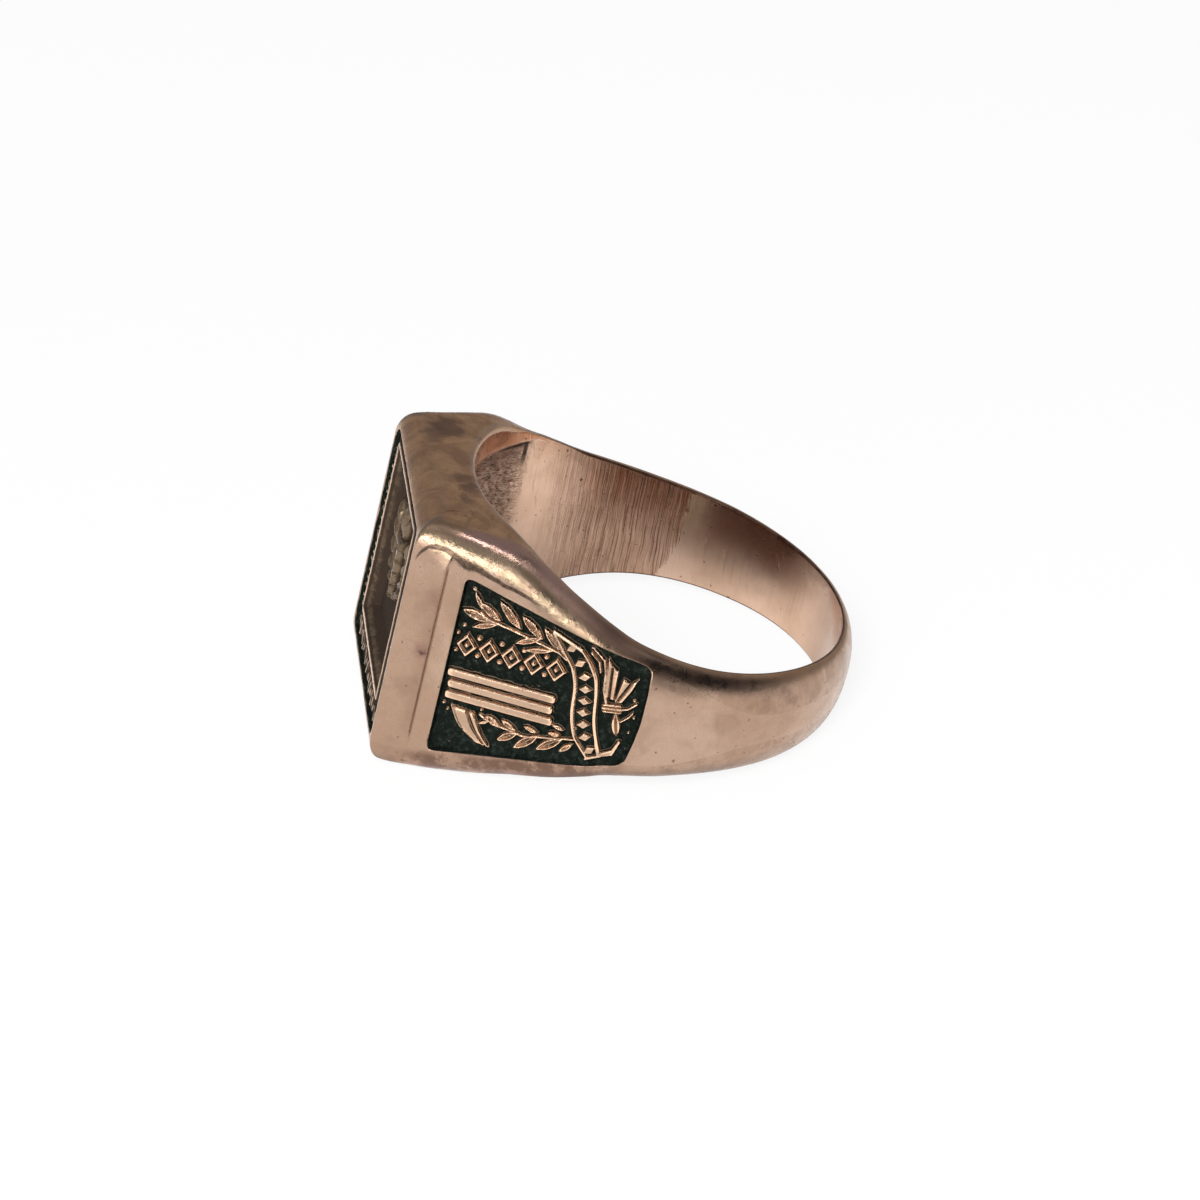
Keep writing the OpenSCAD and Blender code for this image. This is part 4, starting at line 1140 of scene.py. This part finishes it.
        # the ornament is a little yellower than the polished sides and darker in its hollows
        bez = t.attr("bezel")
        col = t.mix(t.ramp(patn, 0.42, 0.70, 0.05, 0.40), col, (0.40, 0.270, 0.155))
        col = t.mix(0.35, col, (0.56, 0.385, 0.265))
        col = t.mix(t.math("MULTIPLY", bez, 0.88), col, (0.150, 0.108, 0.066))
        # the crests take a bright bare-gold colour: rubbed metal, and painted glints
        col = t.mix(t.math("MULTIPLY", high, t.math("SUBTRACT", 0.92, t.math("MULTIPLY", bez, 0.22))), col, (0.92, 0.620, 0.420))
        rough = t.math("SUBTRACT", rough, t.math("MULTIPLY", high, 0.13))
        rough = t.math("SUBTRACT", rough, 0.04)
    pc = t.mix(t.ramp(t.noise(obj, 3300.0, 4.0, 0.75), 0.48, 0.68), PATINA, PATINA2)
    if kind != "body":
        pc = t.mix(t.math("MULTIPLY", bez, 0.80), pc, (0.034, 0.022, 0.016))
    col = t.mix(specks, col, (0.085, 0.050, 0.038))
    # specks of bare metal glint through the patina
    glint = t.ramp(t.noise(obj, 6200.0, 3.0, 0.75), 0.66, 0.74)
    pf = t.math("MULTIPLY", pf, t.math("SUBTRACT", 1.0, t.math("MULTIPLY", glint, 0.55)))
    col = t.mix(pf, col, pc)
    rough = t.math("ADD", rough, t.math("MULTIPLY", pf, 0.10), clamp=True)
    if kind != "body":
        # the sunk field of the bezel is matt
        rough = t.math("ADD", rough, t.math("MULTIPLY", t.math("MULTIPLY", pf, bez), 0.45), clamp=True)
    bump_h = t.math("ADD", bump_h, t.math("MULTIPLY", t.math("MULTIPLY", pf, patn), 3.2))
    t.link(col, bsdf.inputs["Base Color"])
    t.link(rough, bsdf.inputs["Roughness"])
    bsdf.inputs["Specular IOR Level"].default_value = 0.03
    metal = t.math("SUBTRACT", 1.0, t.math("MULTIPLY", pf, 0.92))
    if kind == "body":
        metal = t.math("SUBTRACT", metal, t.math("MULTIPLY", dull, 0.20))
    t.link(metal, bsdf.inputs["Metallic"])
    bump = t.node("ShaderNodeBump")
    bump.inputs["Strength"].default_value = 0.55
    bump.inputs["Distance"].default_value = 0.000014
    t.link(bump_h, bump.inputs["Height"])
    t.link(bump.outputs[0], bsdf.inputs["Normal"])
    return mat


body_mat = gold_material("rose_gold_worn", "body")
relief_mat = gold_material("rose_gold_ornament", "relief")

verts, faces, attrs = body()
ring = make("ring_body", verts, faces, body_mat, attrs)
near = panel("panel_near", 1, relief_mat)
far = panel("panel_far", -1, relief_mat)
front = bezel("bezel_front", relief_mat)
for ob in (ring, near, far, front):
    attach(ob, "root")
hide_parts("ring")

# ---------------------------------------------------------------- floor
mat = bpy.data.materials.new("floor_pale")
t = Tree(mat)
out = t.node("ShaderNodeOutputMaterial")
# the eye sees an even pale floor; the metal sees it lit, with a painted shadow in front standing for the dim front of
# the studio
seen = t.node("ShaderNodeLightPath").outputs["Is Camera Ray"]
painted_front_shadow = t.spot(t.node("ShaderNodeTexCoord").outputs["Object"], (-0.008, -0.078, 0.0), 0.046, 0.16)
painted_front_shadow = t.math("MULTIPLY", painted_front_shadow, t.math("SUBTRACT", 1.0, seen))
diff = t.node("ShaderNodeBsdfDiffuse")
t.link(t.mix(painted_front_shadow, (0.86, 0.86, 0.86), (0.04, 0.04, 0.04)), diff.inputs["Color"])
emi = t.node("ShaderNodeEmission")
emi.inputs["Color"].default_value = (1, 1, 1, 1)
emi.inputs["Strength"].default_value = 0.975
mixed = t.node("ShaderNodeMixShader")
t.link(t.math("MULTIPLY", seen, 0.90), mixed.inputs[0])
t.link(diff.outputs[0], mixed.inputs[1])
t.link(emi.outputs[0], mixed.inputs[2])
t.link(mixed.outputs[0], out.inputs[0])
me = bpy.data.meshes.new("floor")
R = 1.6
me.from_pydata([(-R, -R, 0), (R, -R, 0), (R, R, 0), (-R, R, 0)], [], [(0, 1, 2, 3)])
me.materials.append(mat)
floor = bpy.data.objects.new("floor", me)
bpy.context.scene.collection.objects.link(floor)

# ---------------------------------------------------------------- light
world = bpy.data.worlds.new("studio")
bpy.context.scene.world = world
t = Tree(world)
out = t.node("ShaderNodeOutputWorld")
bg = t.node("ShaderNodeBackground")
t.link(bg.outputs[0], out.inputs[0])
way = t.node("ShaderNodeTexCoord").outputs["Generated"]


def toward(azimuth, height):
    """a direction: 0 is the camera's side, positive to the right, both in degrees"""
    a, h = math.radians(azimuth), math.radians(height)
    return Vector((math.cos(h) * math.sin(a), -math.cos(h) * math.cos(a), math.sin(h)))


def lobe(azimuth, height, full, fade):
    """1 within full degrees of a direction of the room, 0 beyond fade degrees"""
    n = t.node("ShaderNodeVectorMath", operation="DOT_PRODUCT")
    t.link(way, n.inputs[0])
    n.inputs[1].default_value = toward(azimuth, height)
    return t.ramp(n.outputs["Value"], math.cos(math.radians(fade)), math.cos(math.radians(full)))


col = t.mix(lobe(-50, 18, 20, 45), (0.43, 0.43, 0.44), (0.64, 0.64, 0.64))
col = t.mix(lobe(88, 2, 16, 36), col, (0.52, 0.52, 0.52))
dim = t.math("MAXIMUM", lobe(30, 20, 26, 44), lobe(2, -2, 16, 30))
dim = t.math("MAXIMUM", dim, lobe(66, 40, 16, 32))
col = t.mix(dim, col, (0.045, 0.043, 0.045))
t.link(col, bg.inputs["Color"])
bg.inputs["Strength"].default_value = 1.0


def softbox(name, at, to, size, power, size_y=None):
    li = bpy.data.lights.new(name, "AREA")
    li.energy = power
    li.shape = "RECTANGLE"
    li.size = size
    li.size_y = size_y or size
    ob = bpy.data.objects.new(name, li)
    ob.location = at
    ob.rotation_euler = (Vector(to) - Vector(at)).to_track_quat("-Z", "Y").to_euler()
    bpy.context.scene.collection.objects.link(ob)
    return ob


softbox("key_high", toward(-13, 61) * 0.5, (0, 0, 0), 0.15, 0.17, 0.040)
softbox("key_side", toward(40, 57) * 0.5, (0, 0, 0), 0.34, 0.14, 0.07)
softbox("key_low", toward(-29, 10) * 0.5, (0, 0, 0.006), 0.17, 0.52, 0.13)
over = softbox("floor_light", toward(-17, 37) * 0.5, (0, 0, 0), 0.16, 3.9)
over.visible_glossy = False

# ---------------------------------------------------------------- camera, from the outline in the photograph
cam_data = bpy.data.cameras.new("camera")
cam = bpy.data.objects.new("camera", cam_data)
bpy.context.scene.collection.objects.link(cam)
cam_data.sensor_width = 36.0
cam_data.sensor_fit = "HORIZONTAL"
cam_data.lens = 120.66
cam_data.clip_start = 0.005
cam_data.clip_end = 10.0
right = Vector((0.992688, -0.1197, 0.005909)).normalized()
fwd = Vector((0.106855, 0.8617, -0.495911)).normalized()
upv = right.cross(fwd).normalized()
right = fwd.cross(upv).normalized()
rot = Matrix((right, upv, -fwd)).transposed()
cam.matrix_world = Matrix.Translation(Vector((-0.0218709, -0.173759, 0.1052794))) @ rot.to_4x4()
bpy.context.scene.camera = cam
bpy.context.scene.view_settings.view_transform = "Standard"
bpy.context.scene.view_settings.look = "None"

bpy.context.view_layer.update()
